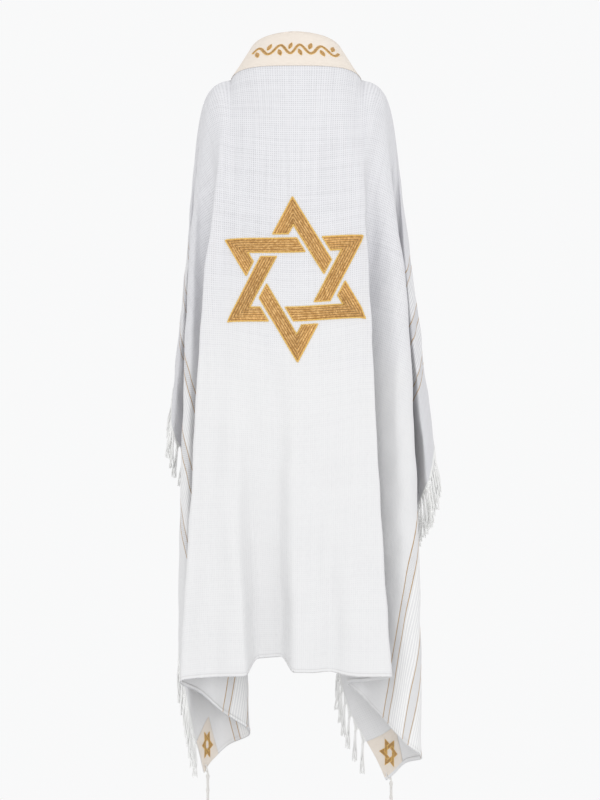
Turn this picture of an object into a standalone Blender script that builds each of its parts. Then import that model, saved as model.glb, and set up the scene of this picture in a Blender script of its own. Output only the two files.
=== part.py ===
"""Tallit prayer shawl, worn over the shoulders with no wearer, as thin rigid solids.

Metres, +Z up. The back faces -Y and the open front faces +Y. The origin is at the nape, a little
below the collar's top edge, between the two shoulders that hold the cloth up.

A place on the flat cloth is (u, v): u runs from the middle of the back to the fringed sides, with
+u on the +X side, and v runs down from the top edge to the hem.
"""

import math

import bmesh
import bpy
import numpy as np

# The cut of the cloth
HALF_WIDTH = 0.93
HEIGHT = 1.34
WALL = 0.0013
GAP = 0.0003

# The place on the flat cloth that lies on top of each shoulder, and where the shoulders are
SHOULDER_U = 0.135
SHOULDER_V = 0.088
RIGHT_SHOULDER = (0.136, 0.0, 0.040)
LEFT_SHOULDER = (-0.132, 0.0, 0.040)
SHOULDER_ROUND = 0.033
BACK_ROUND = 0.09
SHOULDER_RISE = 0.45
SWELL_END = 1.45
FOLDS_START = 0.10
FOLDS_FULL = 0.50

# Each row is a fold that runs down from the shoulder like a spoke. Its angle is measured on the
# flat cloth from straight down, and the other columns say where it hangs.
FOLD_COLUMNS = ("angle", "outward", "forward", "swell", "reach", "side", "depth")
RIGHT_FOLDS = (
    (0.0, -0.6, -2.2, 0.003, 1.000, 0.000, -0.090),
    (3.5, 2.85, -2.3, -0.011, 1.000, 0.000, -0.090),
    (6.5, 0.8, -0.9, -0.010, 1.000, 0.000, -0.078),
    (9.5, -1.3, 1.4, -0.006, 1.000, 0.005, -0.060),
    (13.5, -0.7, 3.2, 0.000, 1.015, 0.018, -0.054),
    (17.5, 0.6, 0.6, 0.006, 1.030, 0.030, -0.056),
    (22.0, 1.7, -0.9, 0.016, 1.035, 0.042, -0.052),
    (26.0, 2.76, 0.3, 0.0215, 1.030, 0.050, -0.040),
    (29.0, 1.8, 3.0, 0.018, 1.015, 0.050, -0.020),
    (32.5, 0.2, 4.6, 0.012, 1.010, 0.050, -0.010),
    (36.7, -3.2, 6.3, 0.004, 1.000, 0.045, 0.000),
    (40.4, -3.6, 9.3, 0.000, 1.000, 0.040, 0.000),
    (44.5, -0.4, 9.6, 0.000, 1.000, 0.040, 0.000),
    (48.0, 0.2, 6.4, 0.000, 1.000, 0.045, 0.000),
    (51.5, 2.8, 5.4, 0.000, 1.000, 0.045, 0.000),
    (55.6, 3.0, 8.8, 0.000, 1.000, 0.050, 0.000),
    (59.0, 4.4, 8.4, 0.000, 1.000, 0.050, 0.004),
    (62.5, 5.0, 4.8, 0.000, 1.000, 0.050, 0.005),
    (66.0, 5.7, 1.4, 0.000, 1.000, 0.050, 0.008),
    (73.0, 6.9, 4.2, 0.000, 1.000, 0.052, 0.015),
    (83.0, 7.1, 9.2, 0.000, 1.000, 0.053, 0.035),
    (90.0, 4.4, 10.8, 0.000, 1.000, 0.035, 0.065),
    (95.8, 1.5, 9.6, 0.000, 1.000, 0.005, 0.080),
    (101.0, -0.6, 11.0, 0.000, 1.000, 0.000, 0.080),
    (112.0, -2.5, 20.0, 0.000, 1.000, 0.000, 0.080),
    (133.0, -9.0, 36.0, 0.000, 1.000, 0.000, 0.070),
    (180.0, -25.0, 122.0, 0.000, 1.000, 0.000, 0.000),
)
LEFT_FOLDS = (
    (0.0, -1.6, -2.2, 0.013, 1.000, 0.000, -0.090),
    (3.7, 1.0, -1.6, 0.004, 1.005, 0.015, -0.088),
    (7.4, 3.1, -2.3, -0.003, 1.010, 0.030, -0.085),
    (11.5, 1.6, 0.6, 0.000, 1.015, 0.028, -0.065),
    (16.5, 0.4, 1.4, 0.000, 1.015, 0.015, -0.050),
    (23.2, -1.9, 3.6, 0.000, 1.015, 0.010, -0.040),
    (28.0, -0.6, 5.0, 0.004, 1.005, 0.030, -0.030),
    (32.5, 0.4, 3.2, 0.008, 0.995, 0.050, -0.020),
    (37.0, 1.3, 0.8, 0.014, 1.000, 0.055, -0.015),
    (43.0, 1.7, 2.6, 0.017, 1.000, 0.060, 0.000),
    (47.0, 0.0, 6.0, 0.006, 1.000, 0.052, 0.006),
    (51.5, -3.4, 8.0, 0.000, 1.000, 0.048, 0.010),
    (56.0, -1.0, 10.4, 0.000, 0.985, 0.050, 0.012),
    (60.5, 1.4, 7.0, 0.000, 0.970, 0.052, 0.014),
    (65.5, 3.2, 8.8, 0.000, 0.945, 0.052, 0.014),
    (70.0, 5.2, 5.4, 0.000, 0.915, 0.052, 0.016),
    (77.0, 6.2, 7.4, 0.000, 0.870, 0.052, 0.022),
    (84.0, 6.1, 10.4, 0.000, 0.850, 0.050, 0.035),
    (90.0, 4.2, 11.4, 0.000, 0.860, 0.035, 0.065),
    (95.8, 1.5, 10.0, 0.000, 0.880, 0.005, 0.080),
    (101.0, -0.6, 11.5, 0.000, 0.900, 0.000, 0.080),
    (112.0, -2.5, 20.0, 0.000, 0.960, 0.000, 0.080),
    (133.0, -9.0, 36.0, 0.000, 1.000, 0.000, 0.070),
    (180.0, -25.0, 122.0, 0.000, 1.000, 0.000, 0.000),
)

# The same spokes close to the shoulder, where the cloth lies smooth
SMOOTH_SHOULDER = (
    (0.0, -1.0, -2.2, 0.000, 1.000, 0.000, -0.090),
    (10.0, 0.4, -2.0, 0.000, 1.000, 0.018, -0.088),
    (25.0, 2.0, -1.2, 0.006, 1.000, 0.040, -0.055),
    (45.0, 4.2, 1.0, 0.008, 1.000, 0.050, -0.012),
    (65.0, 6.6, 3.4, 0.003, 1.000, 0.053, 0.004),
    (80.0, 6.9, 7.5, 0.000, 1.000, 0.050, 0.030),
    (95.8, 1.5, 9.0, 0.000, 1.000, 0.008, 0.080),
    (112.0, -2.5, 20.0, 0.000, 1.000, 0.000, 0.080),
    (133.0, -9.0, 36.0, 0.000, 1.000, 0.000, 0.070),
    (180.0, -25.0, 122.0, 0.000, 1.000, 0.000, 0.000),
)

# The middle line of the back, from the collar's top edge down to the hem
BACK_COLUMNS = ("down", "depth", "height")
BACK_LINE = (
    (0.000, -0.040, 0.1310),
    (0.088, -0.083, 0.0545),
    (0.180, -0.112, -0.0325),
    (0.320, -0.130, -0.1710),
    (0.520, -0.136, -0.3700),
    (0.800, -0.134, -0.6480),
    (1.080, -0.130, -0.9260),
    (1.340, -0.126, -1.1640),
)
COLLAR_BULGE = (0.016, -0.014, 0.012)
COLLAR_BULGE_DEPTH = 0.13

# Soft hollows in the lower back. The columns are: across, half width, soft edge, depth, rise of the
# hem, and how far down it starts
BACK_HOLLOWS = (
    (-0.066, 0.046, 0.018, 0.050, 0.026, 0.66),
    (0.075, 0.020, 0.025, 0.010, 0.004, 0.80),
)

# Grid of the cloth: shares of the way from the shoulder to the cloth's edge, shares of the way down
# the collar's depth, strips between the shoulders, and spokes of the fan before the corner
SPOKE_SHARES = (0.0, 0.03, 0.08, 0.14, 0.20, 0.27, 0.34, 0.42, 0.52, 0.64, 0.76, 0.8893, 0.945, 1.0)
COLLAR_SHARES = (0.0, 0.25, 0.5, 0.75, 1.0)
MIDDLE_STRIPS = 14
SPOKE_STEP = 1.45
NORMAL_STEP = 0.004

# Collar band, which reaches down to the line of the shoulders
COLLAR_HALF_LENGTH = 0.47
TRIM_WALL = 0.0012

# Corner patches and their small stars
PATCH_SIDE = 0.088
PATCH_CORNER_CUT = 0.12
SMALL_STAR_RADIUS = 0.032
SMALL_STAR_RIBBON = 0.006
EMBROIDERY_WALL = 0.0010
EMBROIDERY_GAP = 0.0008
SMALL_STAR_GAP = 0.0010

# Large star on the back
STAR_PLACE = (0.0, 0.530)
STAR_RADIUS = 0.166
STAR_RIBBON = 0.028
STAR_GAP = 0.0085
STAR_TURN = math.radians(1.8)
STAR_SAG = 0.0145
STAR_WALL = 0.0014

# Ornament on the collar
VINE_HALF_LENGTH = 0.085
VINE_MIDDLE = 0.046
VINE_SWING = 0.011
VINE_WAVES = 4
VINE_WIDTH = 0.005
LEAF_LENGTH = 0.017
LEAF_WIDTH = 0.008
LEAF_LEAN = 0.35
LEAF_TIP = 0.12
LEAF_STATIONS = 6
LEAF_PLACE = 0.75
VINE_STATIONS = 49
VINE_STEP = 0.001

# Fringe
FRINGE_CLEAR = 0.014
TASSELS = 40
STRIP_WIDTH = 0.004
STRIP_GAP = 0.0010
STRIP_WALL = 0.0016
TASSEL_ROOT_HALF = 0.0020
# Rings of a tassel: how far along it, and half its width
TASSEL_PROFILE = (
    (0.012, 0.0011),
    (0.018, 0.0030),
    (0.025, 0.0015),
    (0.082, 0.0036),
)

# Tzitzit, the knotted cords at the corners
TZITZIT_EYE = 0.012
TZITZIT_CORDS = 8
TZITZIT_LIFT = 0.0030
TZITZIT_ROOT_RADIUS = 0.0014
# Rings of the knotted head: how far below the edge, and its radius
TZITZIT_HEAD = (
    (0.004, 0.0022),
    (0.010, 0.0046),
    (0.016, 0.0030),
    (0.034, 0.0030),
    (0.040, 0.0044),
    (0.046, 0.0030),
    (0.068, 0.0030),
    (0.074, 0.0044),
    (0.080, 0.0030),
    (0.100, 0.0030),
    (0.106, 0.0046),
    (0.110, 0.0036),
)
TZITZIT_CORD_LENGTH = 0.165
TZITZIT_CORD_SPREAD = 0.010
TZITZIT_CORD_SHARE = 0.55
TZITZIT_CORD_STEPS = (0.35, 0.7, 1.0)

CLOTH_WHITE = (0.91, 0.91, 0.90)
CREAM = (0.87, 0.83, 0.76)
GOLD_THREAD = (0.52, 0.30, 0.10)


def clear_scene():
    for item in list(bpy.data.objects):
        bpy.data.objects.remove(item, do_unlink=True)


def finish(name, colour, roughness, metallic):
    material = bpy.data.materials.new(name)
    material.use_nodes = True
    shader = material.node_tree.nodes["Principled BSDF"]
    shader.inputs["Base Color"].default_value = (*colour, 1.0)
    shader.inputs["Roughness"].default_value = roughness
    shader.inputs["Metallic"].default_value = metallic
    return material


def smooth_step(value):
    value = np.clip(value, 0.0, 1.0)
    return value * value * (3.0 - 2.0 * value)


def read_table(columns, table, place):
    """Each named column of the table at these places, on smooth curves through its rows."""
    rows = np.array(table, float)
    knots = rows[:, 0]
    values = rows[:, 1:]
    slopes = np.gradient(values, knots, axis=0)
    place = np.clip(place, knots[0], knots[-1])
    index = np.clip(np.searchsorted(knots, place, side="right") - 1, 0, len(knots) - 2)
    span = knots[index + 1] - knots[index]
    share = ((place - knots[index]) / span)[..., None]
    span = span[..., None]
    start = values[index]
    end = values[index + 1]
    rise_start = slopes[index] * span
    rise_end = slopes[index + 1] * span
    found = (2 * share**3 - 3 * share**2 + 1) * start + (share**3 - 2 * share**2 + share) * rise_start
    found += (3 * share**2 - 2 * share**3) * end + (share**3 - share**2) * rise_end
    return dict(zip(columns[1:], np.moveaxis(found, -1, 0)))


def direction(outward, forward):
    """Unit vector of a spoke: 0 and 0 point straight down, and 90 forward points to the front."""
    outward = np.radians(outward)
    forward = np.radians(forward)
    return np.stack(
        [np.sin(outward), np.cos(outward) * np.sin(forward), -np.cos(outward) * np.cos(forward)],
        axis=-1,
    )


def side_surface(across, down, folds, shoulder, hand):
    """Points of the cloth beyond the shoulder, where it hangs in folds that fan out from there."""
    beyond = across - SHOULDER_U
    below = down - SHOULDER_V
    radius = np.hypot(beyond, below)
    angle = np.degrees(np.arctan2(beyond, below))
    share = smooth_step((radius - FOLDS_START) / (FOLDS_FULL - FOLDS_START))
    smooth = read_table(FOLD_COLUMNS, SMOOTH_SHOULDER, angle)
    folded = read_table(FOLD_COLUMNS, folds, angle)
    row = {name: smooth[name] * (1 - share) + folded[name] * share for name in folded}
    points = direction(row["outward"], row["forward"]) * (radius * row["reach"])[..., None]
    side = row["side"] * (1 - np.exp(-radius / SHOULDER_ROUND))
    depth = row["depth"] * (1 - np.exp(-radius / BACK_ROUND))
    place = np.clip(radius / SWELL_END, 0.0, 1.0)
    points[..., 0] += side + row["swell"] * 4 * place * (1 - place)
    points[..., 1] += depth
    points[..., 2] += SHOULDER_RISE * (np.abs(side) + np.abs(depth))
    points[..., 0] *= hand
    return points + np.array(shoulder)


def back_surface(across, down):
    """Points of the cloth between the shoulders: the nape, the back and its hem."""
    edge = np.full_like(across, SHOULDER_U)
    right = side_surface(edge, down, RIGHT_FOLDS, RIGHT_SHOULDER, 1.0)
    left = side_surface(edge, down, LEFT_FOLDS, LEFT_SHOULDER, -1.0)
    line = read_table(BACK_COLUMNS, BACK_LINE, down)
    middle = np.stack([np.zeros_like(down), line["depth"], line["height"]], axis=-1)
    share = np.abs(across) / SHOULDER_U
    hand = np.where(across < 0, -1.0, 1.0)
    outer = np.where((across < 0)[..., None], left, right)
    bend = share**2 * (1.5 - 0.5 * share)
    points = middle.copy()
    points[..., 0] = outer[..., 0] * share
    points[..., 1:] += (outer - middle)[..., 1:] * bend[..., None]
    rounded = share**2
    bulge = 4 * rounded * (1 - rounded) * np.exp(-((down / COLLAR_BULGE_DEPTH) ** 2))
    points[..., 0] += hand * COLLAR_BULGE[0] * bulge
    points[..., 1] += COLLAR_BULGE[1] * bulge
    points[..., 2] += COLLAR_BULGE[2] * bulge
    for where, half_width, soft, depth, rise, start in BACK_HOLLOWS:
        inside = smooth_step((half_width + soft - np.abs(across - where)) / (2 * soft))
        grown = smooth_step((down - start) / (HEIGHT - start)) * inside
        points[..., 1] += depth * grown
        points[..., 2] += rise * grown
    return points


def cloth_point(across, down):
    """Where a place on the flat cloth hangs."""
    across, down = np.broadcast_arrays(np.asarray(across, float), np.asarray(down, float))
    back = back_surface(np.clip(across, -SHOULDER_U, SHOULDER_U), down)
    right = side_surface(np.maximum(across, SHOULDER_U), down, RIGHT_FOLDS, RIGHT_SHOULDER, 1.0)
    left = side_surface(np.maximum(-across, SHOULDER_U), down, LEFT_FOLDS, LEFT_SHOULDER, -1.0)
    points = np.where((across > SHOULDER_U)[..., None], right, back)
    return np.where((across < -SHOULDER_U)[..., None], left, points)


def cloth_normal(across, down):
    """Unit vector out of the cloth's outer face, the one that the back shows."""
    along = cloth_point(across + NORMAL_STEP, down) - cloth_point(across - NORMAL_STEP, down)
    drop = cloth_point(across, down + NORMAL_STEP) - cloth_point(across, down - NORMAL_STEP)
    normal = np.cross(drop, along)
    return normal / np.linalg.norm(normal, axis=-1, keepdims=True)


def on_cloth(across, down, height):
    """A point this high over the middle of the wall."""
    across, down = np.broadcast_arrays(np.asarray(across, float), np.asarray(down, float))
    return cloth_point(across, down) + cloth_normal(across, down) * height


def make_object(name, points, faces, material):
    mesh = bpy.data.meshes.new(name)
    mesh.from_pydata([tuple(point) for point in points], [], faces)
    mesh.validate()
    form = bmesh.new()
    form.from_mesh(mesh)
    bmesh.ops.triangulate(form, faces=form.faces[:])
    bmesh.ops.recalc_face_normals(form, faces=form.faces[:])
    if form.calc_volume(signed=True) < 0:
        bmesh.ops.reverse_faces(form, faces=form.faces[:])
    form.to_mesh(mesh)
    form.free()
    mesh.shade_smooth()
    mesh.materials.append(material)
    item = bpy.data.objects.new(name, mesh)
    bpy.context.scene.collection.objects.link(item)
    return item


def weld(cells):
    """Places and faces of a flat mesh, from cells that each list their corners on the flat cloth."""
    found = {}
    faces = []
    for cell in cells:
        face = []
        for across, down in cell:
            key = (round(float(across), 6), round(float(down), 6))
            corner = found.setdefault(key, len(found))
            if corner not in face:
                face.append(corner)
        if len(face) > 2:
            faces.append(tuple(face))
    return np.array(list(found)), faces


def open_edges(faces):
    """Edges that only one face has, in that face's direction."""
    edges = {(face[i], face[(i + 1) % len(face)]) for face in faces for i in range(len(face))}
    return [edge for edge in edges if (edge[1], edge[0]) not in edges]


def wall_object(name, cells, low, high, material):
    """A closed sheet over these cells of the flat cloth, between two heights over the wall's middle."""
    places, faces = weld(cells)
    upper = on_cloth(places[:, 0], places[:, 1], high)
    lower = on_cloth(places[:, 0], places[:, 1], low)
    count = len(places)
    under = [tuple(corner + count for corner in face[::-1]) for face in faces]
    rim = [(end, start, start + count, end + count) for start, end in sorted(open_edges(faces))]
    return make_object(name, np.concatenate([upper, lower]), faces + under + rim, material)


def grid_cells(lines):
    """Cells between the rows of a grid of flat places, all turned the same way."""
    cells = []
    for first, second in zip(lines, lines[1:]):
        for here in range(len(first) - 1):
            cells.append((first[here], first[here + 1], second[here + 1], second[here]))
    return cells


def tassel_places():
    """How far down the fringed edge each tassel hangs."""
    clear = PATCH_SIDE + FRINGE_CLEAR
    return np.linspace(clear, HEIGHT - clear, TASSELS)


def edge_angle(across, down):
    return math.degrees(math.atan2(across - SHOULDER_U, down - SHOULDER_V))


def spoke_angles():
    """Angles of the fan's spokes: even ones up to the corner, then one to each tassel."""
    inner = HALF_WIDTH - PATCH_SIDE
    above = HEIGHT - PATCH_SIDE
    corners = [edge_angle(inner, HEIGHT), edge_angle(inner, above), edge_angle(HALF_WIDTH, HEIGHT)]
    corners.append(edge_angle(HALF_WIDTH, above))
    corners.append((corners[0] + corners[1]) / 2)
    corners.append((corners[2] + corners[3]) / 2)
    steps = math.ceil(corners[0] / SPOKE_STEP)
    even = [corners[0] * step / steps for step in range(steps)]
    tassels = [edge_angle(HALF_WIDTH, down) for down in tassel_places()]
    return sorted(even + corners + tassels + [90.0])


def spoke_places(hand, angle):
    """Flat places along one spoke, from the shoulder to the cloth's edge."""
    turn = math.radians(angle)
    reach = (HEIGHT - SHOULDER_V) / max(math.cos(turn), 1e-9)
    reach = min(reach, (HALF_WIDTH - SHOULDER_U) / max(math.sin(turn), 1e-9))
    sine = math.sin(turn) * reach
    cosine = math.cos(turn) * reach
    return [(hand * (SHOULDER_U + sine * share), SHOULDER_V + cosine * share) for share in SPOKE_SHARES]


def collar_columns(hand):
    """Places across the strip beside the collar, from the shoulder to the fringed edge."""
    return [hand * (SHOULDER_U + (HALF_WIDTH - SHOULDER_U) * share) for share in SPOKE_SHARES]


def top_cells(columns):
    """Cells of the strip above the line of the shoulders, between these places across."""
    columns = sorted(columns)
    lines = [[(across, SHOULDER_V * share) for across in columns] for share in COLLAR_SHARES]
    return grid_cells(lines)


def middle_columns():
    return list(np.linspace(-SHOULDER_U, SHOULDER_U, MIDDLE_STRIPS + 1))


def build_cloth(material):
    columns = middle_columns()
    downs = [SHOULDER_V + (HEIGHT - SHOULDER_V) * share for share in SPOKE_SHARES]
    cells = grid_cells([[(across, down) for across in columns] for down in downs]) + top_cells(columns)
    for hand in (-1, 1):
        cells += top_cells(collar_columns(hand))
        spokes = [spoke_places(hand, angle) for angle in spoke_angles()]
        if hand < 0:
            spokes.reverse()
        across_spokes = [list(line) for line in zip(*spokes)]
        cells += grid_cells(across_spokes)
    return wall_object("cloth", cells, -WALL / 2, WALL / 2, material)


def build_collar(material):
    columns = middle_columns()
    for hand in (-1, 1):
        columns += [across for across in collar_columns(hand)[1:] if abs(across) < COLLAR_HALF_LENGTH]
    low = WALL / 2 + GAP
    return wall_object("collar_band", top_cells(columns), low, low + TRIM_WALL, material)


def face_heights(face, layer, wall):
    """Bottom and top of a sheet that lies on the outer (1) or inner (-1) face, over a layer."""
    low = WALL / 2 + GAP + layer
    return face * low, face * (low + wall)


def corner_cells(hand):
    """Cells of the square at the hem's corner, cut along the fan's spokes."""
    inner = HALF_WIDTH - PATCH_SIDE
    above = HEIGHT - PATCH_SIDE
    first = edge_angle(inner, HEIGHT) + PATCH_CORNER_CUT
    last = edge_angle(HALF_WIDTH, above) - PATCH_CORNER_CUT
    angles = [first] + [angle for angle in spoke_angles() if first < angle < last] + [last]
    stations = []
    for angle in angles:
        slope = math.tan(math.radians(angle))
        enter = max(above - SHOULDER_V, (inner - SHOULDER_U) / slope)
        leave = min(HEIGHT - SHOULDER_V, (HALF_WIDTH - SHOULDER_U) / slope)
        ends = (enter, leave)
        stations.append([(hand * (SHOULDER_U + slope * below), SHOULDER_V + below) for below in ends])
    if hand < 0:
        stations.reverse()
    return grid_cells([list(line) for line in zip(*stations)])


def build_patches(material):
    for side, hand in (("left", -1), ("right", 1)):
        outer = [across for across in collar_columns(hand) if abs(across) > HALF_WIDTH - PATCH_SIDE - 0.001]
        for end, cells in (("top", top_cells(outer)), ("bottom", corner_cells(hand))):
            for face, turn in (("outer", 1), ("inner", -1)):
                low, high = face_heights(turn, 0.0, TRIM_WALL)
                wall_object(f"patch_{end}_{side}_{face}", cells, low, high, material)


def star_normals(turn):
    angles = [math.pi / 2 + turn - math.radians(60 * tip) for tip in range(6)]
    return [np.array([math.cos(angle), math.sin(angle)]) for angle in angles]


def crossing(first, first_far, second, second_far):
    """Where two straight edges meet, each given by its normal and its distance from the middle."""
    return np.linalg.solve(np.array([first, second]), np.array([first_far, second_far]))


def star_corners(normals, tip, radius, ribbon, gap):
    """Corners of one bent ribbon of the woven star, from its short end round the tip to its long end."""
    ahead = normals[(tip + 1) % 6]
    beyond = normals[(tip + 2) % 6]
    behind = normals[(tip - 1) % 6]
    here = normals[tip]
    outer = radius / 2
    inner = outer - ribbon
    short_out = crossing(behind, outer, here, outer + gap)
    short_in = crossing(behind, inner, here, outer + gap)
    tip_out = crossing(behind, outer, ahead, outer)
    tip_in = crossing(behind, inner, ahead, inner)
    long_out = crossing(ahead, outer, beyond, inner - gap)
    long_in = crossing(ahead, inner, beyond, inner - gap)
    return (short_out, short_in), (tip_out, tip_in), (long_out, long_in)


def ribbon_wall(name, stations, centre, low, high, material):
    """A flat ribbon on the cloth. Each station is a pair of edge points, right and up of the centre."""
    lines = []
    for edge in (0, 1):
        lines.append([(centre[0] + pair[edge][0], centre[1] - pair[edge][1]) for pair in stations])
    return wall_object(name, grid_cells(lines), low, high, material)


def between(first, last, steps):
    shares = np.linspace(0.0, 1.0, steps + 1)[:-1]
    first = np.array(first)
    last = np.array(last)
    return [first + (last - first) * share for share in shares]


def sagged(stations):
    """The star's edge points, lower towards the sides, so that it hangs true across the curved back."""
    stations = np.array(stations)
    stations[..., 1] -= STAR_SAG * (stations[..., 0] / SHOULDER_U) ** 2
    return stations


def build_large_star(material):
    normals = star_normals(STAR_TURN)
    low = WALL / 2 + EMBROIDERY_GAP
    for tip in range(6):
        short, point, far = star_corners(normals, tip, STAR_RADIUS, STAR_RIBBON, STAR_GAP)
        stations = between(short, point, 2) + between(point, far, 8) + [np.array(far)]
        ribbon_wall(f"star_ribbon_{tip + 1}", sagged(stations), STAR_PLACE, low, low + STAR_WALL, material)


def small_star_ring(radius, ribbon):
    """Outer and inner outline of a six-pointed star whose two triangles are fused."""
    normals = star_normals(0.0)
    outer = []
    inner = []
    for tip in range(6):
        outer.append(normals[tip] * radius)
        notch = (normals[tip] + normals[(tip + 1) % 6]) * (radius / 3)
        outer.append(notch)
        hole = radius / 2 - ribbon
        inner.append(normals[tip] * hole)
        inner.append((normals[tip] + normals[(tip + 1) % 6]) * (hole / 1.5))
    return outer, inner


def build_small_stars(material):
    outer, inner = small_star_ring(SMALL_STAR_RADIUS, SMALL_STAR_RIBBON)
    stations = list(zip(outer, inner))
    stations.append(stations[0])
    for side, hand in (("left", -1), ("right", 1)):
        for end, middle in (("top", PATCH_SIDE / 2), ("bottom", HEIGHT - PATCH_SIDE / 2)):
            centre = (hand * (HALF_WIDTH - PATCH_SIDE / 2), middle)
            for face, turn in (("outer", 1), ("inner", -1)):
                low, high = face_heights(turn, TRIM_WALL + SMALL_STAR_GAP, EMBROIDERY_WALL)
                ribbon_wall(f"small_star_{end}_{side}_{face}", stations, centre, low, high, material)


def vine_point(along):
    swing = VINE_SWING * math.sin(2 * math.pi * VINE_WAVES * along / (2 * VINE_HALF_LENGTH))
    return np.array([along, swing])


def build_ornament(material):
    centre = (0.0, VINE_MIDDLE)
    low, high = face_heights(1, TRIM_WALL + EMBROIDERY_GAP, EMBROIDERY_WALL)
    stations = []
    for along in np.linspace(-VINE_HALF_LENGTH, VINE_HALF_LENGTH, VINE_STATIONS):
        ahead = vine_point(along + VINE_STEP) - vine_point(along - VINE_STEP)
        ahead = ahead / np.linalg.norm(ahead)
        aside = np.array([-ahead[1], ahead[0]]) * VINE_WIDTH / 2
        stations.append((vine_point(along) + aside, vine_point(along) - aside))
    ribbon_wall("collar_vine", stations, centre, low, high, material)
    half_wave = VINE_HALF_LENGTH / VINE_WAVES
    for leaf in range(2 * VINE_WAVES):
        along = -VINE_HALF_LENGTH + (leaf + 0.5) * half_wave
        rise = -math.copysign(1.0, vine_point(along)[1])
        middle = np.array([along, rise * VINE_SWING * LEAF_PLACE])
        lean = np.array([LEAF_LEAN, rise]) / math.hypot(LEAF_LEAN, 1.0)
        aside = np.array([-lean[1], lean[0]])
        stations = []
        for share in np.linspace(0.0, 1.0, LEAF_STATIONS):
            half = LEAF_WIDTH / 2 * (LEAF_TIP + (1 - LEAF_TIP) * math.sin(math.pi * share))
            spot = middle + lean * LEAF_LENGTH * (share - 0.5)
            stations.append((spot + aside * half, spot - aside * half))
        ribbon_wall(f"collar_leaf_{leaf + 1}", stations, centre, low, high, material)


def beyond_edge(hand, down, past, height):
    """Points past the fringed edge, on the spokes that meet the edge at these places."""
    down, past = np.broadcast_arrays(np.asarray(down, float), np.asarray(past, float))
    over = HALF_WIDTH - SHOULDER_U
    below = down - SHOULDER_V
    spoke = np.hypot(over, below)
    return on_cloth(hand * (HALF_WIDTH + over / spoke * past), down + below / spoke * past, height)


def tassel_rings(hand, middles):
    """For each tassel, the four corners of each of its rings, from the strip down to the tip."""
    rings = []
    for along, half_width in TASSEL_PROFILE:
        past = STRIP_GAP + STRIP_WIDTH + along
        centre = beyond_edge(hand, middles, past, 0.0)
        upward = beyond_edge(hand, middles, past, half_width) - centre
        ahead = beyond_edge(hand, middles, past + 0.002, 0.0) - centre
        ahead = ahead / np.linalg.norm(ahead, axis=-1, keepdims=True)
        aside = np.cross(ahead, upward) * hand
        corners = [-upward - aside, upward - aside, upward + aside, aside - upward]
        rings.append(np.stack([centre + corner for corner in corners], axis=1))
    return np.stack(rings, axis=1)


def build_fringe(side, hand, material):
    """A narrow strip along the cloth's edge, with a row of knotted tassels that grow out of it."""
    middles = tassel_places()
    near = hand * (HALF_WIDTH + STRIP_GAP)
    far = near + hand * STRIP_WIDTH
    half = STRIP_WALL / 2
    corners = ((near, half), (near, -half), (far, -half), (far, half))
    strip = np.stack([on_cloth(across, middles, height) for across, height in corners], axis=1)
    share = TASSEL_ROOT_HALF / (middles[1] - middles[0])
    above = strip + (np.concatenate([2 * strip[:1] - strip[1:2], strip[:-1]]) - strip) * share
    below = strip + (np.concatenate([strip[1:], 2 * strip[-1:] - strip[-2:-1]]) - strip) * share
    points = list(np.stack([above, below], axis=1).reshape(-1, 3))
    last = len(points) - 4
    faces = [(0, 1, 2, 3), (last + 3, last + 2, last + 1, last)]
    for station in range(2 * TASSELS - 1):
        here = 4 * station
        for edge in range(4):
            if edge == 2 and station % 2 == 0:
                continue
            following = (edge + 1) % 4
            faces.append((here + edge, here + 4 + edge, here + 4 + following, here + following))
    for number, tassel in enumerate(tassel_rings(hand, middles)):
        root = 8 * number
        ring = [root + 2, root + 3, root + 7, root + 6]
        for corners in tassel:
            first = len(points)
            points += list(corners)
            fresh = [first, first + 1, first + 2, first + 3]
            for edge in range(4):
                following = (edge + 1) % 4
                faces.append((ring[edge], fresh[edge], fresh[following], ring[following]))
            ring = fresh
        faces.append(tuple(ring))
    return make_object(f"fringe_{side}", np.array(points), faces, material)


def build_tzitzit(end, side, hand, material):
    """A knotted, wound head that comes out of the corner's eye and over its edge, and eight free cords."""
    lift = WALL / 2 + 2 * GAP + TRIM_WALL + TZITZIT_LIFT
    centres = []
    for inside in (TZITZIT_EYE, TZITZIT_EYE / 2, TZITZIT_EYE / 8):
        if end == "bottom":
            centres.append(on_cloth(hand * (HALF_WIDTH - TZITZIT_EYE), HEIGHT - inside, lift))
        else:
            centres.append(on_cloth(hand * (HALF_WIDTH - inside), TZITZIT_EYE, lift))
    radii = [TZITZIT_ROOT_RADIUS] * len(centres)
    start = centres[-1] * 2 - centres[-2]
    for below, radius in TZITZIT_HEAD:
        centres.append(start - np.array([0.0, 0.0, below]))
        radii.append(radius)
    points, faces, ring = tube(centres, radii, TZITZIT_CORDS)
    add_cords(points, faces, ring, centres[-1])
    return make_object(f"tzitzit_{end}_{side}", np.array(points), faces, material)


def tube(centres, radii, sides):
    """Points and faces of a tube that is open at its far end, and the ring of points there."""
    points = []
    faces = []
    rings = []
    guide = np.array([1.0, 0.0, 0.0])
    for place, (centre, radius) in enumerate(zip(centres, radii)):
        before = centres[max(place - 1, 0)]
        after = centres[min(place + 1, len(centres) - 1)]
        ahead = (after - before) / np.linalg.norm(after - before)
        aside = guide - ahead * np.dot(guide, ahead)
        aside = aside / np.linalg.norm(aside)
        other = np.cross(ahead, aside)
        first = len(points)
        for step in range(sides):
            turn = 2 * math.pi * step / sides
            points.append(centre + radius * (math.cos(turn) * aside + math.sin(turn) * other))
        rings.append([first + step for step in range(sides)])
    faces.append(tuple(rings[0][::-1]))
    for lower, upper in zip(rings, rings[1:]):
        for step in range(sides):
            following = (step + 1) % sides
            faces.append((lower[step], lower[following], upper[following], upper[step]))
    return points, faces, rings[-1]


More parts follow.
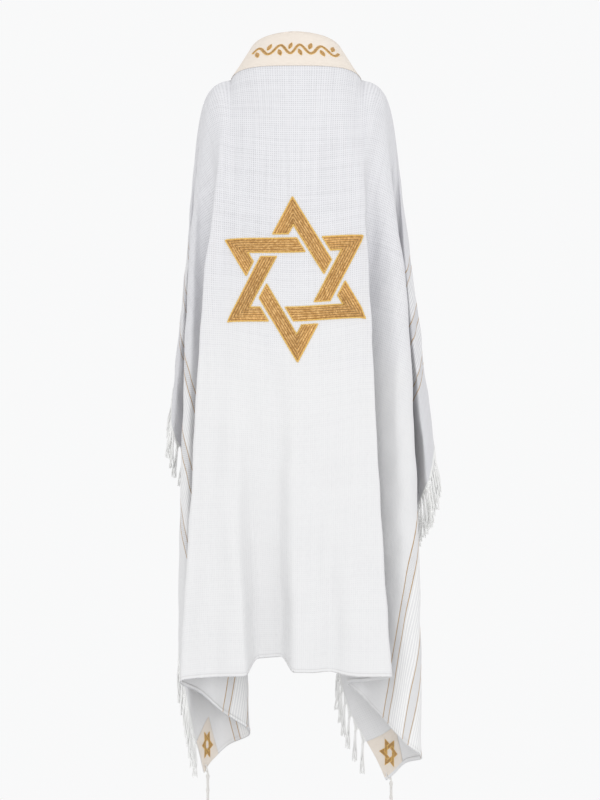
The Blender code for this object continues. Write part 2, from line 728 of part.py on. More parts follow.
def add_cords(points, faces, ring, centre):
    """One free cord of three sides out of each wedge of the tube's open end, and the skin between them."""
    hub = len(points)
    points.append(centre)
    sides = len(ring)
    for step in range(sides):
        following = (step + 1) % sides
        wedge = [hub, ring[step], ring[following]]
        middle = sum(points[corner] for corner in wedge) / 3
        first = len(points)
        root = [middle + (points[corner] - middle) * TZITZIT_CORD_SHARE for corner in wedge]
        points += root
        inner = [first, first + 1, first + 2]
        for edge in range(3):
            after = (edge + 1) % 3
            faces.append((wedge[edge], wedge[after], inner[after], inner[edge]))
        out = (middle - centre) / np.linalg.norm(middle - centre)
        for share in TZITZIT_CORD_STEPS:
            drop = np.array([0.0, 0.0, -TZITZIT_CORD_LENGTH * share])
            shift = out * TZITZIT_CORD_SPREAD * math.sin(share * math.pi / 2)
            first = len(points)
            points += [corner + drop + shift for corner in root]
            fresh = [first, first + 1, first + 2]
            for edge in range(3):
                after = (edge + 1) % 3
                faces.append((inner[edge], inner[after], fresh[after], fresh[edge]))
            inner = fresh
        faces.append(tuple(inner))


def main():
    clear_scene()
    white = finish("white_wool", CLOTH_WHITE, 0.85, 0.0)
    cream = finish("cream_cotton", CREAM, 0.8, 0.0)
    gold = finish("gold_thread", GOLD_THREAD, 0.5, 0.25)
    build_cloth(white)
    build_collar(cream)
    build_patches(cream)
    build_large_star(gold)
    build_small_stars(gold)
    build_ornament(gold)
    for side, hand in (("left", -1), ("right", 1)):
        build_fringe(side, hand, white)
        for end in ("top", "bottom"):
            build_tzitzit(end, side, hand, cream)


main()
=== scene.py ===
"""Tallit prayer shawl, draped as it is worn: the cloth, its trims, fringe and cords.

A place on the flat cloth is (u, v) in metres: u runs from the middle of the back to the fringed
sides, and v from the top edge down to the hem. Every sewn piece is laid out there and then hung.
"""

import math

import bpy
import numpy as np
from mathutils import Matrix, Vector


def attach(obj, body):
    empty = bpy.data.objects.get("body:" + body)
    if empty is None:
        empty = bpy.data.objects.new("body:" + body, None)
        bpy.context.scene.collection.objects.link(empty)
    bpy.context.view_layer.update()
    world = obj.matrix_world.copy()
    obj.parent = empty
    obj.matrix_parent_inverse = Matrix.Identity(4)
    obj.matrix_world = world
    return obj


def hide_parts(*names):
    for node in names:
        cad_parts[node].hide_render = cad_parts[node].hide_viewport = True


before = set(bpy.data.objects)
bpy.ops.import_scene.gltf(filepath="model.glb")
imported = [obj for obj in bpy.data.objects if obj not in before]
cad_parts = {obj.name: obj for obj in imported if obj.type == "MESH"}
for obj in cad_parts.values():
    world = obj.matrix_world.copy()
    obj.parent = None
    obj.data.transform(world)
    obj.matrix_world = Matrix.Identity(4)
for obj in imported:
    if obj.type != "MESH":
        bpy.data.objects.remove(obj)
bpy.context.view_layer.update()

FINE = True
TURN = 2 * math.pi

# The cut of the cloth, and how it hangs. These are the part's own sizes
HALF_WIDTH = 0.93
HEIGHT = 1.34
WALL = 0.0013
GAP = 0.0003
SHOULDER_U = 0.135
SHOULDER_V = 0.088
RIGHT_SHOULDER = (0.136, 0.0, 0.040)
LEFT_SHOULDER = (-0.132, 0.0, 0.040)
SHOULDER_ROUND = 0.033
BACK_ROUND = 0.09
SHOULDER_RISE = 0.45
SWELL_END = 1.45
FOLDS_START = 0.10
FOLDS_FULL = 0.50
NORMAL_STEP = 0.004

FOLD_COLUMNS = ("angle", "outward", "forward", "swell", "reach", "side", "depth")
RIGHT_FOLDS = (
    (0.0, -0.6, -2.2, 0.003, 1.000, 0.000, -0.090),
    (3.5, 2.85, -2.3, -0.011, 1.000, 0.000, -0.090),
    (6.5, 0.8, -0.9, -0.010, 1.000, 0.000, -0.078),
    (9.5, -1.3, 1.4, -0.006, 1.000, 0.005, -0.060),
    (13.5, -0.7, 3.2, 0.000, 1.015, 0.018, -0.054),
    (17.5, 0.6, 0.6, 0.006, 1.030, 0.030, -0.056),
    (22.0, 1.7, -0.9, 0.016, 1.035, 0.042, -0.052),
    (26.0, 2.76, 0.3, 0.0215, 1.030, 0.050, -0.040),
    (29.0, 1.8, 3.0, 0.018, 1.015, 0.050, -0.020),
    (32.5, 0.2, 4.6, 0.012, 1.010, 0.050, -0.010),
    (36.7, -3.2, 6.3, 0.004, 1.000, 0.045, 0.000),
    (40.4, -3.6, 9.3, 0.000, 1.000, 0.040, 0.000),
    (44.5, -0.4, 9.6, 0.000, 1.000, 0.040, 0.000),
    (48.0, 0.2, 6.4, 0.000, 1.000, 0.045, 0.000),
    (51.5, 2.8, 5.4, 0.000, 1.000, 0.045, 0.000),
    (55.6, 3.0, 8.8, 0.000, 1.000, 0.050, 0.000),
    (59.0, 4.4, 8.4, 0.000, 1.000, 0.050, 0.004),
    (62.5, 5.0, 4.8, 0.000, 1.000, 0.050, 0.005),
    (66.0, 5.7, 1.4, 0.000, 1.000, 0.050, 0.008),
    (73.0, 6.9, 4.2, 0.000, 1.000, 0.052, 0.015),
    (83.0, 7.1, 9.2, 0.000, 1.000, 0.053, 0.035),
    (90.0, 4.4, 10.8, 0.000, 1.000, 0.035, 0.065),
    (95.8, 1.5, 9.6, 0.000, 1.000, 0.005, 0.080),
    (101.0, -0.6, 11.0, 0.000, 1.000, 0.000, 0.080),
    (112.0, -2.5, 20.0, 0.000, 1.000, 0.000, 0.080),
    (133.0, -9.0, 36.0, 0.000, 1.000, 0.000, 0.070),
    (180.0, -25.0, 122.0, 0.000, 1.000, 0.000, 0.000),
)
LEFT_FOLDS = (
    (0.0, -1.6, -2.2, 0.013, 1.000, 0.000, -0.090),
    (3.7, 1.0, -1.6, 0.004, 1.005, 0.015, -0.088),
    (7.4, 3.1, -2.3, -0.003, 1.010, 0.030, -0.085),
    (11.5, 1.6, 0.6, 0.000, 1.015, 0.028, -0.065),
    (16.5, 0.4, 1.4, 0.000, 1.015, 0.015, -0.050),
    (23.2, -1.9, 3.6, 0.000, 1.015, 0.010, -0.040),
    (28.0, -0.6, 5.0, 0.004, 1.005, 0.030, -0.030),
    (32.5, 0.4, 3.2, 0.008, 0.995, 0.050, -0.020),
    (37.0, 1.3, 0.8, 0.014, 1.000, 0.055, -0.015),
    (43.0, 1.7, 2.6, 0.017, 1.000, 0.060, 0.000),
    (47.0, 0.0, 6.0, 0.006, 1.000, 0.052, 0.006),
    (51.5, -3.4, 8.0, 0.000, 1.000, 0.048, 0.010),
    (56.0, -1.0, 10.4, 0.000, 0.985, 0.050, 0.012),
    (60.5, 1.4, 7.0, 0.000, 0.970, 0.052, 0.014),
    (65.5, 3.2, 8.8, 0.000, 0.945, 0.052, 0.014),
    (70.0, 5.2, 5.4, 0.000, 0.915, 0.052, 0.016),
    (77.0, 6.2, 7.4, 0.000, 0.870, 0.052, 0.022),
    (84.0, 6.1, 10.4, 0.000, 0.850, 0.050, 0.035),
    (90.0, 4.2, 11.4, 0.000, 0.860, 0.035, 0.065),
    (95.8, 1.5, 10.0, 0.000, 0.880, 0.005, 0.080),
    (101.0, -0.6, 11.5, 0.000, 0.900, 0.000, 0.080),
    (112.0, -2.5, 20.0, 0.000, 0.960, 0.000, 0.080),
    (133.0, -9.0, 36.0, 0.000, 1.000, 0.000, 0.070),
    (180.0, -25.0, 122.0, 0.000, 1.000, 0.000, 0.000),
)
SMOOTH_SHOULDER = (
    (0.0, -1.0, -2.2, 0.000, 1.000, 0.000, -0.090),
    (10.0, 0.4, -2.0, 0.000, 1.000, 0.018, -0.088),
    (25.0, 2.0, -1.2, 0.006, 1.000, 0.040, -0.055),
    (45.0, 4.2, 1.0, 0.008, 1.000, 0.050, -0.012),
    (65.0, 6.6, 3.4, 0.003, 1.000, 0.053, 0.004),
    (80.0, 6.9, 7.5, 0.000, 1.000, 0.050, 0.030),
    (95.8, 1.5, 9.0, 0.000, 1.000, 0.008, 0.080),
    (112.0, -2.5, 20.0, 0.000, 1.000, 0.000, 0.080),
    (133.0, -9.0, 36.0, 0.000, 1.000, 0.000, 0.070),
    (180.0, -25.0, 122.0, 0.000, 1.000, 0.000, 0.000),
)
BACK_COLUMNS = ("down", "depth", "height")
BACK_LINE = (
    (0.000, -0.040, 0.1310),
    (0.088, -0.083, 0.0545),
    (0.180, -0.112, -0.0325),
    (0.320, -0.130, -0.1710),
    (0.520, -0.136, -0.3700),
    (0.800, -0.134, -0.6480),
    (1.080, -0.130, -0.9260),
    (1.340, -0.126, -1.1640),
)
COLLAR_BULGE = (0.016, -0.014, 0.012)
COLLAR_BULGE_DEPTH = 0.13
BACK_HOLLOWS = (
    (-0.066, 0.046, 0.018, 0.050, 0.026, 0.66),
    (0.075, 0.020, 0.025, 0.010, 0.004, 0.80),
)

# Soft creases, one to a row, drawn on the flat cloth from a start to an end. Depth is positive for
# a ridge and negative for a trough, and wander is how far the line strays sideways
CREASE_COLUMNS = ("start_u", "start_v", "end_u", "end_v", "half_width", "depth", "wander")
CREASES = (
    (-0.120, 0.100, -0.170, 0.420, 0.013, 0.0016, 0.004),
    (-0.095, 0.105, -0.125, 0.300, 0.010, -0.0010, 0.003),
    (0.118, 0.100, 0.165, 0.520, 0.014, -0.0020, 0.004),
    (0.095, 0.100, 0.120, 0.330, 0.010, 0.0012, 0.003),
    (-0.052, 0.640, -0.030, 0.960, 0.024, -0.0038, 0.010),
    (-0.010, 0.760, -0.022, 1.200, 0.020, 0.0026, 0.008),
    (-0.118, 0.900, -0.112, 1.330, 0.016, -0.0034, 0.006),
    (-0.150, 0.700, -0.160, 1.300, 0.018, 0.0020, 0.008),
    (0.040, 0.640, 0.028, 0.980, 0.022, -0.0018, 0.010),
    (0.074, 0.980, 0.078, 1.335, 0.015, -0.0030, 0.006),
    (0.118, 0.760, 0.128, 1.300, 0.020, 0.0024, 0.008),
    (-0.080, 0.420, 0.060, 0.720, 0.018, -0.0009, 0.006),
    (0.020, 0.430, -0.100, 0.760, 0.016, 0.0008, 0.006),
    (-0.185, 0.300, -0.225, 0.760, 0.010, -0.0014, 0.004),
    (-0.240, 0.500, -0.300, 1.050, 0.012, 0.0016, 0.006),
    (-0.200, 0.900, -0.230, 1.320, 0.012, -0.0016, 0.005),
    (0.200, 0.350, 0.262, 0.900, 0.012, 0.0016, 0.005),
    (0.245, 0.700, 0.330, 1.200, 0.012, -0.0018, 0.006),
    (0.300, 0.420, 0.430, 0.900, 0.011, 0.0014, 0.006),
    (0.420, 0.640, 0.560, 1.100, 0.012, -0.0016, 0.006),
    (0.500, 0.900, 0.640, 1.280, 0.012, 0.0014, 0.005),
    (0.520, 0.340, 0.800, 0.560, 0.012, -0.0016, 0.006),
    (0.600, 0.480, 0.900, 0.800, 0.012, 0.0015, 0.006),
    (0.700, 0.200, 0.900, 0.260, 0.012, -0.0014, 0.005),
    (0.700, 0.900, 0.860, 1.150, 0.011, -0.0014, 0.005),
    (-0.320, 0.420, -0.460, 0.900, 0.011, -0.0014, 0.006),
    (-0.430, 0.640, -0.560, 1.120, 0.012, 0.0016, 0.006),
    (-0.520, 0.880, -0.660, 1.280, 0.012, -0.0014, 0.005),
    (-0.540, 0.340, -0.820, 0.560, 0.012, 0.0015, 0.006),
    (-0.600, 0.500, -0.900, 0.860, 0.012, -0.0015, 0.006),
    (-0.700, 0.190, -0.900, 0.250, 0.012, 0.0014, 0.005),
    (-0.700, 0.920, -0.850, 1.160, 0.011, 0.0014, 0.005),
    (0.180, 0.120, 0.420, 0.210, 0.010, 0.0010, 0.004),
    (-0.180, 0.120, -0.420, 0.210, 0.010, -0.0010, 0.004),
)
# Slow unevenness of the cloth: waves to a metre across and down, height and where the wave begins
SLOW_WAVES = (
    (5.3, 3.1, 0.0007, 0.4),
    (9.7, -4.3, 0.0005, 1.9),
    (3.2, 8.4, 0.0006, 3.1),
    (14.9, 6.1, 0.0003, 5.2),
    (-7.1, 12.7, 0.00025, 2.6),
)
# How fast a crease strays along its length, and how soon it fades in and out. One that ends below
# HEM_REACHED runs on to the hem. Under the collar band, down to CALM_END, the cloth lies calm
WANDER_RATE = 17.0
WANDER_SHIFT = 40.0
CREASE_FADE = 3.5
HEM_REACHED = 1.28
CALM_START = 0.09
CALM_END = 0.19
SHOWN_HALF_WALL = 0.0005

# Stripes woven in beside each fringe, as distances from the fringed edge. Checked mesh lies between
# the two lines of a pair, and satin from one pair to the next
STRIPES = (0.178, 0.202, 0.276, 0.308, 0.383, 0.407)
MESH_BANDS = tuple(zip(STRIPES[0::2], STRIPES[1::2]))
SATIN_BANDS = tuple(zip(STRIPES[1::2], STRIPES[2::2]))
STRIPE_HALF = 0.0013
WEAVE_PERIOD = 0.0044
CHECK_PERIOD = 0.0060
BAR_PERIOD = 0.0095

# Trims
COLLAR_HALF_LENGTH = 0.47
TRIM_WALL = 0.0012
UNDER_TRIM = WALL / 2 + GAP
ON_TRIM = UNDER_TRIM + TRIM_WALL
PATCH_SIDE = 0.088
SMALL_STAR = {"radius": 0.032, "ribbon": 0.0066, "gap": 0.0017}
LARGE_STAR = {"radius": 0.166, "ribbon": 0.028, "gap": 0.0085}
STAR_PLACE = (0.0, 0.530)
STAR_TURN = math.radians(1.8)
STAR_SAG = 0.0145
STAR_CROWN = 0.0012
SMALL_STAR_CROWN = 0.0008
VINE_CROWN = 0.0011
LEAF_CROWN = 0.0013
SATIN_BASE = 0.0004
SATIN_END = 0.003
COUCHED_CORD = 0.0014
FINE_CORD = 0.0006
VINE_HALF_LENGTH = 0.085
VINE_MIDDLE = 0.046
VINE_SWING = 0.011
VINE_WAVES = 4
VINE_WIDTH = 0.005
LEAF_LENGTH = 0.017
LEAF_WIDTH = 0.008
LEAF_LEAN = 0.35
LEAF_TIP = 0.12
SEAM_INSET = 0.006
GROOVE_HALF = 0.0014
GROOVE_DEPTH = 0.0005
PULL_PERIOD = 0.031
PULL_DEPTH = 0.00025
PIPING_RADIUS = 0.0021
HEM_WIDTH = 0.007
HEM_INSET = 0.001
HEM_FOLD = 0.0010
HEM_SWELL = 0.0004
HEM_ROLL_RADIUS = 0.0012
STITCH = 0.0045
STITCH_LENGTH = 0.0030
STITCH_HALF = 0.00032

# Fringe
FRINGE_CLEAR = 0.014
TASSELS = 40
STRIP_GAP = 0.0010
YARNS = 6
YARN_RADIUS = 0.0013
YARN_WIND = 34.0
TIGHT_REACH = 0.0011
LOOSE_REACH = 0.0036
KNOT_PLACE = 0.0205
KNOT_HALF = 0.0034
KNOT_RADII = (0.0016, 0.0027, 0.0031, 0.0029, 0.0031, 0.0026, 0.0016)
TASSEL_LENGTH = 0.086
SWAY = 0.0016
HEADER_RADIUS = 0.0011
HEADER_PAST = 0.012
UNEVEN_CUT = 0.05

# Tzitzit. The head's rows are how far below the eye, and the radius there
TZITZIT_EYE = 0.012
TZITZIT_LIFT = 0.0030
TZITZIT_CORDS = 8
TZITZIT_CORD_LENGTH = 0.165
TZITZIT_CORD_RADIUS = 0.0011
TZITZIT_LOOP_RADIUS = 0.0013
CORD_WANDER = 0.0016
CORD_ROOT = 0.0022
CORD_SPREAD = 0.0095
TZITZIT_HEAD = (
    (0.004, 0.0022),
    (0.010, 0.0046),
    (0.016, 0.0030),
    (0.034, 0.0030),
    (0.040, 0.0044),
    (0.046, 0.0030),
    (0.068, 0.0030),
    (0.074, 0.0044),
    (0.080, 0.0030),
    (0.100, 0.0030),
    (0.106, 0.0046),
    (0.110, 0.0036),
)

# Edges of a piece that bend more than this stay crisp
SHARP_ANGLE = math.radians(80)

# Studio
FLOOR_RADIUS = 1.15
FLOOR_LEVEL = -1.72
CAMERA_PLACE = (0.01, -3.90, -0.62)
SENSOR = 36.0
LENS = SENSOR * 3.78 / 1.6


# How the cloth hangs
def smooth_step(value):
    value = np.clip(value, 0.0, 1.0)
    return value * value * (3.0 - 2.0 * value)


def unit(vectors):
    return vectors / np.linalg.norm(vectors, axis=-1, keepdims=True)


def distances(points):
    """How far along a path each of its points lies."""
    steps = np.linalg.norm(np.diff(points, axis=0), axis=1)
    return np.concatenate([[0.0], np.cumsum(steps)])


def smooth_curve(knots, values, place):
    """The values at these places, on a smooth curve through the knots."""
    slopes = np.gradient(values, knots, axis=0)
    index = np.clip(np.searchsorted(knots, place, side="right") - 1, 0, len(knots) - 2)
    span = knots[index + 1] - knots[index]
    share = ((place - knots[index]) / span)[..., None]
    rise_start = slopes[index] * span[..., None]
    rise_end = slopes[index + 1] * span[..., None]
    found = (2 * share**3 - 3 * share**2 + 1) * values[index]
    found += (share**3 - 2 * share**2 + share) * rise_start
    return found + (3 * share**2 - 2 * share**3) * values[index + 1] + (share**3 - share**2) * rise_end


def read_table(columns, table, place):
    """Each named column of the table at these places."""
    rows = np.array(table, float)
    place = np.clip(place, rows[0, 0], rows[-1, 0])
    found = smooth_curve(rows[:, 0], rows[:, 1:], place)
    return dict(zip(columns[1:], np.moveaxis(found, -1, 0)))


def direction(outward, forward):
    outward = np.radians(outward)
    forward = np.radians(forward)
    parts = [np.sin(outward), np.cos(outward) * np.sin(forward), -np.cos(outward) * np.cos(forward)]
    return np.stack(parts, axis=-1)


def side_surface(across, down, folds, shoulder, hand):
    """Points of the cloth beyond the shoulder, where it hangs in folds that fan out from there."""
    beyond = across - SHOULDER_U
    below = down - SHOULDER_V
    radius = np.hypot(beyond, below)
    angle = np.degrees(np.arctan2(beyond, below))
    share = smooth_step((radius - FOLDS_START) / (FOLDS_FULL - FOLDS_START))
    smooth = read_table(FOLD_COLUMNS, SMOOTH_SHOULDER, angle)
    folded = read_table(FOLD_COLUMNS, folds, angle)
    row = {name: smooth[name] * (1 - share) + folded[name] * share for name in folded}
    points = direction(row["outward"], row["forward"]) * (radius * row["reach"])[..., None]
    side = row["side"] * (1 - np.exp(-radius / SHOULDER_ROUND))
    depth = row["depth"] * (1 - np.exp(-radius / BACK_ROUND))
    place = np.clip(radius / SWELL_END, 0.0, 1.0)
    points[..., 0] += side + row["swell"] * 4 * place * (1 - place)
    points[..., 1] += depth
    points[..., 2] += SHOULDER_RISE * (np.abs(side) + np.abs(depth))
    points[..., 0] *= hand
    return points + np.array(shoulder)


def back_surface(across, down):
    """Points of the cloth between the shoulders: the nape, the back and its hem."""
    edge = np.full_like(across, SHOULDER_U)
    right = side_surface(edge, down, RIGHT_FOLDS, RIGHT_SHOULDER, 1.0)
    left = side_surface(edge, down, LEFT_FOLDS, LEFT_SHOULDER, -1.0)
    line = read_table(BACK_COLUMNS, BACK_LINE, down)
    middle = np.stack([np.zeros_like(down), line["depth"], line["height"]], axis=-1)
    share = np.abs(across) / SHOULDER_U
    hand = np.where(across < 0, -1.0, 1.0)
    outer = np.where((across < 0)[..., None], left, right)
    bend = share**2 * (1.5 - 0.5 * share)
    points = middle.copy()
    points[..., 0] = outer[..., 0] * share
    points[..., 1:] += (outer - middle)[..., 1:] * bend[..., None]
    rounded = share**2
    bulge = 4 * rounded * (1 - rounded) * np.exp(-((down / COLLAR_BULGE_DEPTH) ** 2))
    points[..., 0] += hand * COLLAR_BULGE[0] * bulge
    points[..., 1] += COLLAR_BULGE[1] * bulge
    points[..., 2] += COLLAR_BULGE[2] * bulge
    for where, half_width, soft, depth, rise, start in BACK_HOLLOWS:
        inside = smooth_step((half_width + soft - np.abs(across - where)) / (2 * soft))
        grown = smooth_step((down - start) / (HEIGHT - start)) * inside
        points[..., 1] += depth * grown
        points[..., 2] += rise * grown
    return points


def plain_point(across, down):
    across, down = np.broadcast_arrays(np.asarray(across, float), np.asarray(down, float))
    back = back_surface(np.clip(across, -SHOULDER_U, SHOULDER_U), down)
    right = side_surface(np.maximum(across, SHOULDER_U), down, RIGHT_FOLDS, RIGHT_SHOULDER, 1.0)
    left = side_surface(np.maximum(-across, SHOULDER_U), down, LEFT_FOLDS, LEFT_SHOULDER, -1.0)
    points = np.where((across > SHOULDER_U)[..., None], right, back)
    return np.where((across < -SHOULDER_U)[..., None], left, points)


def plain_normal(across, down):
    along = plain_point(across + NORMAL_STEP, down) - plain_point(across - NORMAL_STEP, down)
    drop = plain_point(across, down + NORMAL_STEP) - plain_point(across, down - NORMAL_STEP)
    normal = np.cross(drop, along)
    return unit(normal)

def plain_lift(across, down, height):
    return plain_point(across, down) + plain_normal(across, down) * height


def crease_height(across, down):
    """How far the creases and the cloth's slow unevenness lift it at these places."""
    height = np.zeros(np.broadcast(across, down).shape)
    for start_u, start_v, end_u, end_v, half_width, depth, wander in CREASES:
        run_u = end_u - start_u
        run_v = end_v - start_v
        length = math.hypot(run_u, run_v)
        along = ((across - start_u) * run_u + (down - start_v) * run_v) / length
        aside = ((across - start_u) * run_v - (down - start_v) * run_u) / length
        aside = aside - wander * np.sin(along * WANDER_RATE + start_u * WANDER_SHIFT)
        fade = smooth_step(along / length * CREASE_FADE)
        if end_v <= HEM_REACHED:
            fade = fade * smooth_step((length - along) / length * CREASE_FADE)
        height += depth * fade * np.exp(-((aside / half_width) ** 2))
    for per_u, per_v, rise, phase in SLOW_WAVES:
        height += rise * np.sin(TURN * (per_u * across + per_v * down) + phase)
    calm = smooth_step((down - CALM_START) / (CALM_END - CALM_START))
    return height * calm


def on_cloth(across, down, height=0.0):
    """A point this high over the middle of the cloth, with its creases."""
    across, down = np.broadcast_arrays(np.asarray(across, float), np.asarray(down, float))
    lift = crease_height(across, down) + height
    return plain_lift(across, down, lift[..., None])


# Meshes
class Form:
    """Points, faces and flat places gathered for one piece."""

    def __init__(self):
        self.points = []
        self.faces = []
        self.places = []
        self.count = 0

    def add(self, points, faces, places):
        points = np.asarray(points, float).reshape(-1, 3)
        self.points.append(points)
        self.places.append(np.asarray(places, float).reshape(-1, 2))
        self.faces.append(in_threes(faces) + self.count)
        self.count += len(points)

    def piece(self, name, material, node_names):
        points = np.concatenate(self.points)
        places = np.concatenate(self.places)
        faces = np.concatenate(self.faces)
        mesh = bpy.data.meshes.new(name)
        mesh.vertices.add(len(points))
        mesh.vertices.foreach_set("co", points.ravel())
        mesh.loops.add(faces.size)
        mesh.loops.foreach_set("vertex_index", faces.ravel())
        mesh.polygons.add(len(faces))
        mesh.polygons.foreach_set("loop_start", np.arange(len(faces)) * 3)
        mesh.update(calc_edges=True)
        layer = mesh.uv_layers.new(name="flat")
        layer.data.foreach_set("uv", places[faces.ravel()].ravel())
        mesh.validate()
        mesh.shade_smooth()
        mesh.set_sharp_from_angle(angle=SHARP_ANGLE)
        mesh.materials.append(material)
        item = placed(name, mesh)
        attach(item, "root")
        if node_names:
            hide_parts(*node_names)
        return item


def placed(name, data):
    """A new object in the scene for a mesh, a light or a camera."""
    item = bpy.data.objects.new(name, data)
    bpy.context.scene.collection.objects.link(item)
    return item


def in_threes(faces):
    """The same faces as triangles."""
    faces = np.asarray(faces, int)
    if faces.shape[1] == 3:
        return faces
    return np.concatenate([faces[:, [0, 1, 2]], faces[:, [0, 2, 3]]])


def quad_faces(rows, columns, turned=False, ring=False):
    """Faces of a grid of points. A ring closes the columns on themselves."""
    last = columns if ring else columns - 1
    row, column = np.meshgrid(np.arange(rows - 1) * columns, np.arange(last), indexing="ij")
    after = (column + 1) % columns
    corners = [row + column, row + after, row + columns + after, row + columns + column]
    faces = np.stack([corner.ravel() for corner in corners], axis=1)
    return faces[:, ::-1] if turned else faces


def add_slab(form, across, down, low, high, places=None):
    """A closed sheet over a grid of flat places, between two heights, each a number or a grid."""
    rows, columns = across.shape
    count = rows * columns
    top = on_cloth(across, down, high)
    bottom = on_cloth(across, down, low)
    if places is None:
        places = np.stack([across, down], axis=-1)
    spot = np.arange(count).reshape(rows, columns)
    border = np.concatenate([spot[0, :-1], spot[:-1, -1], spot[-1, :0:-1], spot[:0:-1, 0]])
    following = np.roll(border, -1)
    upper = quad_faces(rows, columns)
    rim = np.stack([following, border, border + count, following + count], axis=1)
    faces = np.concatenate([upper, upper[:, ::-1] + count, rim])
    if turned_over(across, down):
        faces = faces[:, ::-1]
    points = np.concatenate([top.reshape(-1, 3), bottom.reshape(-1, 3)])
    form.add(points, faces, np.concatenate([places.reshape(-1, 2)] * 2))


def add_on_face(form, across, down, side, low, height, places=None):
    """A slab of this height on the outer face of the cloth, or on the inner one where side is -1."""
    near = side * low * np.ones_like(across)
    far = side * (low + height)
    if side < 0:
        near, far = far, near
    add_slab(form, across, down, near, far, places)


def turned_over(across, down):
    """Whether the grid's faces would look into the cloth, judged by its flat layout."""
    step_u = across[1, 0] - across[0, 0], across[0, 1] - across[0, 0]
    step_v = down[1, 0] - down[0, 0], down[0, 1] - down[0, 0]
    return step_u[1] * step_v[0] - step_u[0] * step_v[1] < 0


def sweep_frames(path):
    """Two directions square to a path at each of its points, without twist."""
    ahead = unit(np.gradient(path, axis=0))
    guide = np.array([1.0, 0.0, 0.0]) if abs(ahead[0][0]) < 0.8 else np.array([0.0, 1.0, 0.0])
    asides = []
    for step in ahead:
        guide = unit(guide - step * np.dot(guide, step))
        asides.append(guide)
    asides = np.array(asides)
    return asides, np.cross(ahead, asides)


def add_tube(form, path, radius, sides=6, ridge=0.0, pitch=0.0016):
    """A round cord along a path. A ridge winds round it, once for each pitch of its length."""
    path = np.asarray(path, float)
    count = len(path)
    asides, others = sweep_frames(path)
    along = distances(path)
    turn = TURN * np.arange(sides) / sides
    radius = np.broadcast_to(np.asarray(radius, float), (count,))[:, None]
    reach = (radius + ridge * np.sin(TURN * along[:, None] / pitch + turn))[..., None]
    round_about = np.cos(turn)[:, None] * asides[:, None] + np.sin(turn)[:, None] * others[:, None]
    points = path[:, None] + reach * round_about
    share, far = np.broadcast_arrays(turn / TURN, along[:, None])
    faces = in_threes(quad_faces(count, sides, ring=True))
    first = np.arange(sides)
    after = (first + 1) % sides
    last = (count - 1) * sides
    hub = count * sides
    near_cap = np.stack([np.full(sides, hub), after, first], axis=1)
    far_cap = np.stack([np.full(sides, hub + 1), last + first, last + after], axis=1)
    form.add(
        np.concatenate([points.reshape(-1, 3), path[:1], path[-1:]]),
        np.concatenate([faces, near_cap, far_cap]),
        np.concatenate([np.stack([share.ravel(), far.ravel()], axis=1), [[0.5, 0.0], [0.5, along[-1]]]]),
    )


def add_stitches(form, across, down, height):
    """A row of sewing stitches along a path on the flat cloth, each a small spindle of thread."""
    across, down = np.broadcast_arrays(np.asarray(across, float), np.asarray(down, float))
    far = distances(np.stack([across, down], axis=1))
    middles = np.arange(STITCH / 2, far[-1], STITCH)
    ends = []
    for shift in (-STITCH_LENGTH / 2, 0.0, STITCH_LENGTH / 2):
        spot = np.clip(middles + shift, 0, far[-1])
        ends.append(on_cloth(np.interp(spot, far, across), np.interp(spot, far, down), height))
    first, middle, last = ends
    normal = plain_normal(np.interp(middles, far, across), np.interp(middles, far, down))
    aside = np.cross(unit(last - first), normal) * STITCH_HALF
    up = normal * math.copysign(STITCH_HALF, height)
    left = middle + aside + up * 0.2
    right = middle - aside + up * 0.2
    points = np.stack([first, last, left, middle + up * 1.4, right, middle - up], axis=1)
    around = [(2, 3), (3, 4), (4, 5), (5, 2)]
    spindle = np.array([(0, a, b) for a, b in around] + [(1, b, a) for a, b in around])
    faces = (np.arange(len(middles)) * 6)[:, None, None] + spindle
    form.add(points, faces.reshape(-1, 3), np.zeros((points.shape[0] * 6, 2)))


# Finishes
def worked_out(operation, swapped=False):
    """A method that gives this operation on the field and any other values."""

    def method(self, *others):
        return self.maths(operation, *((*others, self) if swapped else (self, *others)))

    return method


class Field:
    """A number that changes over a surface. Sums and products of it are the shader's own maths."""

    def __init__(self, finish, socket):
        self.finish = finish
        self.socket = socket

    def maths(self, operation, *values):
        node = self.finish.node("ShaderNodeMath", {"operation": operation}, dict(enumerate(values)))
        return Field(self.finish, node.outputs[0])

    __add__ = worked_out("ADD")
    __radd__ = worked_out("ADD", swapped=True)
    __sub__ = worked_out("SUBTRACT")
    __rsub__ = worked_out("SUBTRACT", swapped=True)
    __mul__ = worked_out("MULTIPLY")
    __abs__ = worked_out("ABSOLUTE")
    sine = worked_out("SINE")
    least = worked_out("MINIMUM")
    most = worked_out("MAXIMUM")

    def share(self):
        """The field, held between 0 and 1."""
        return self.most(0.0).least(1.0)


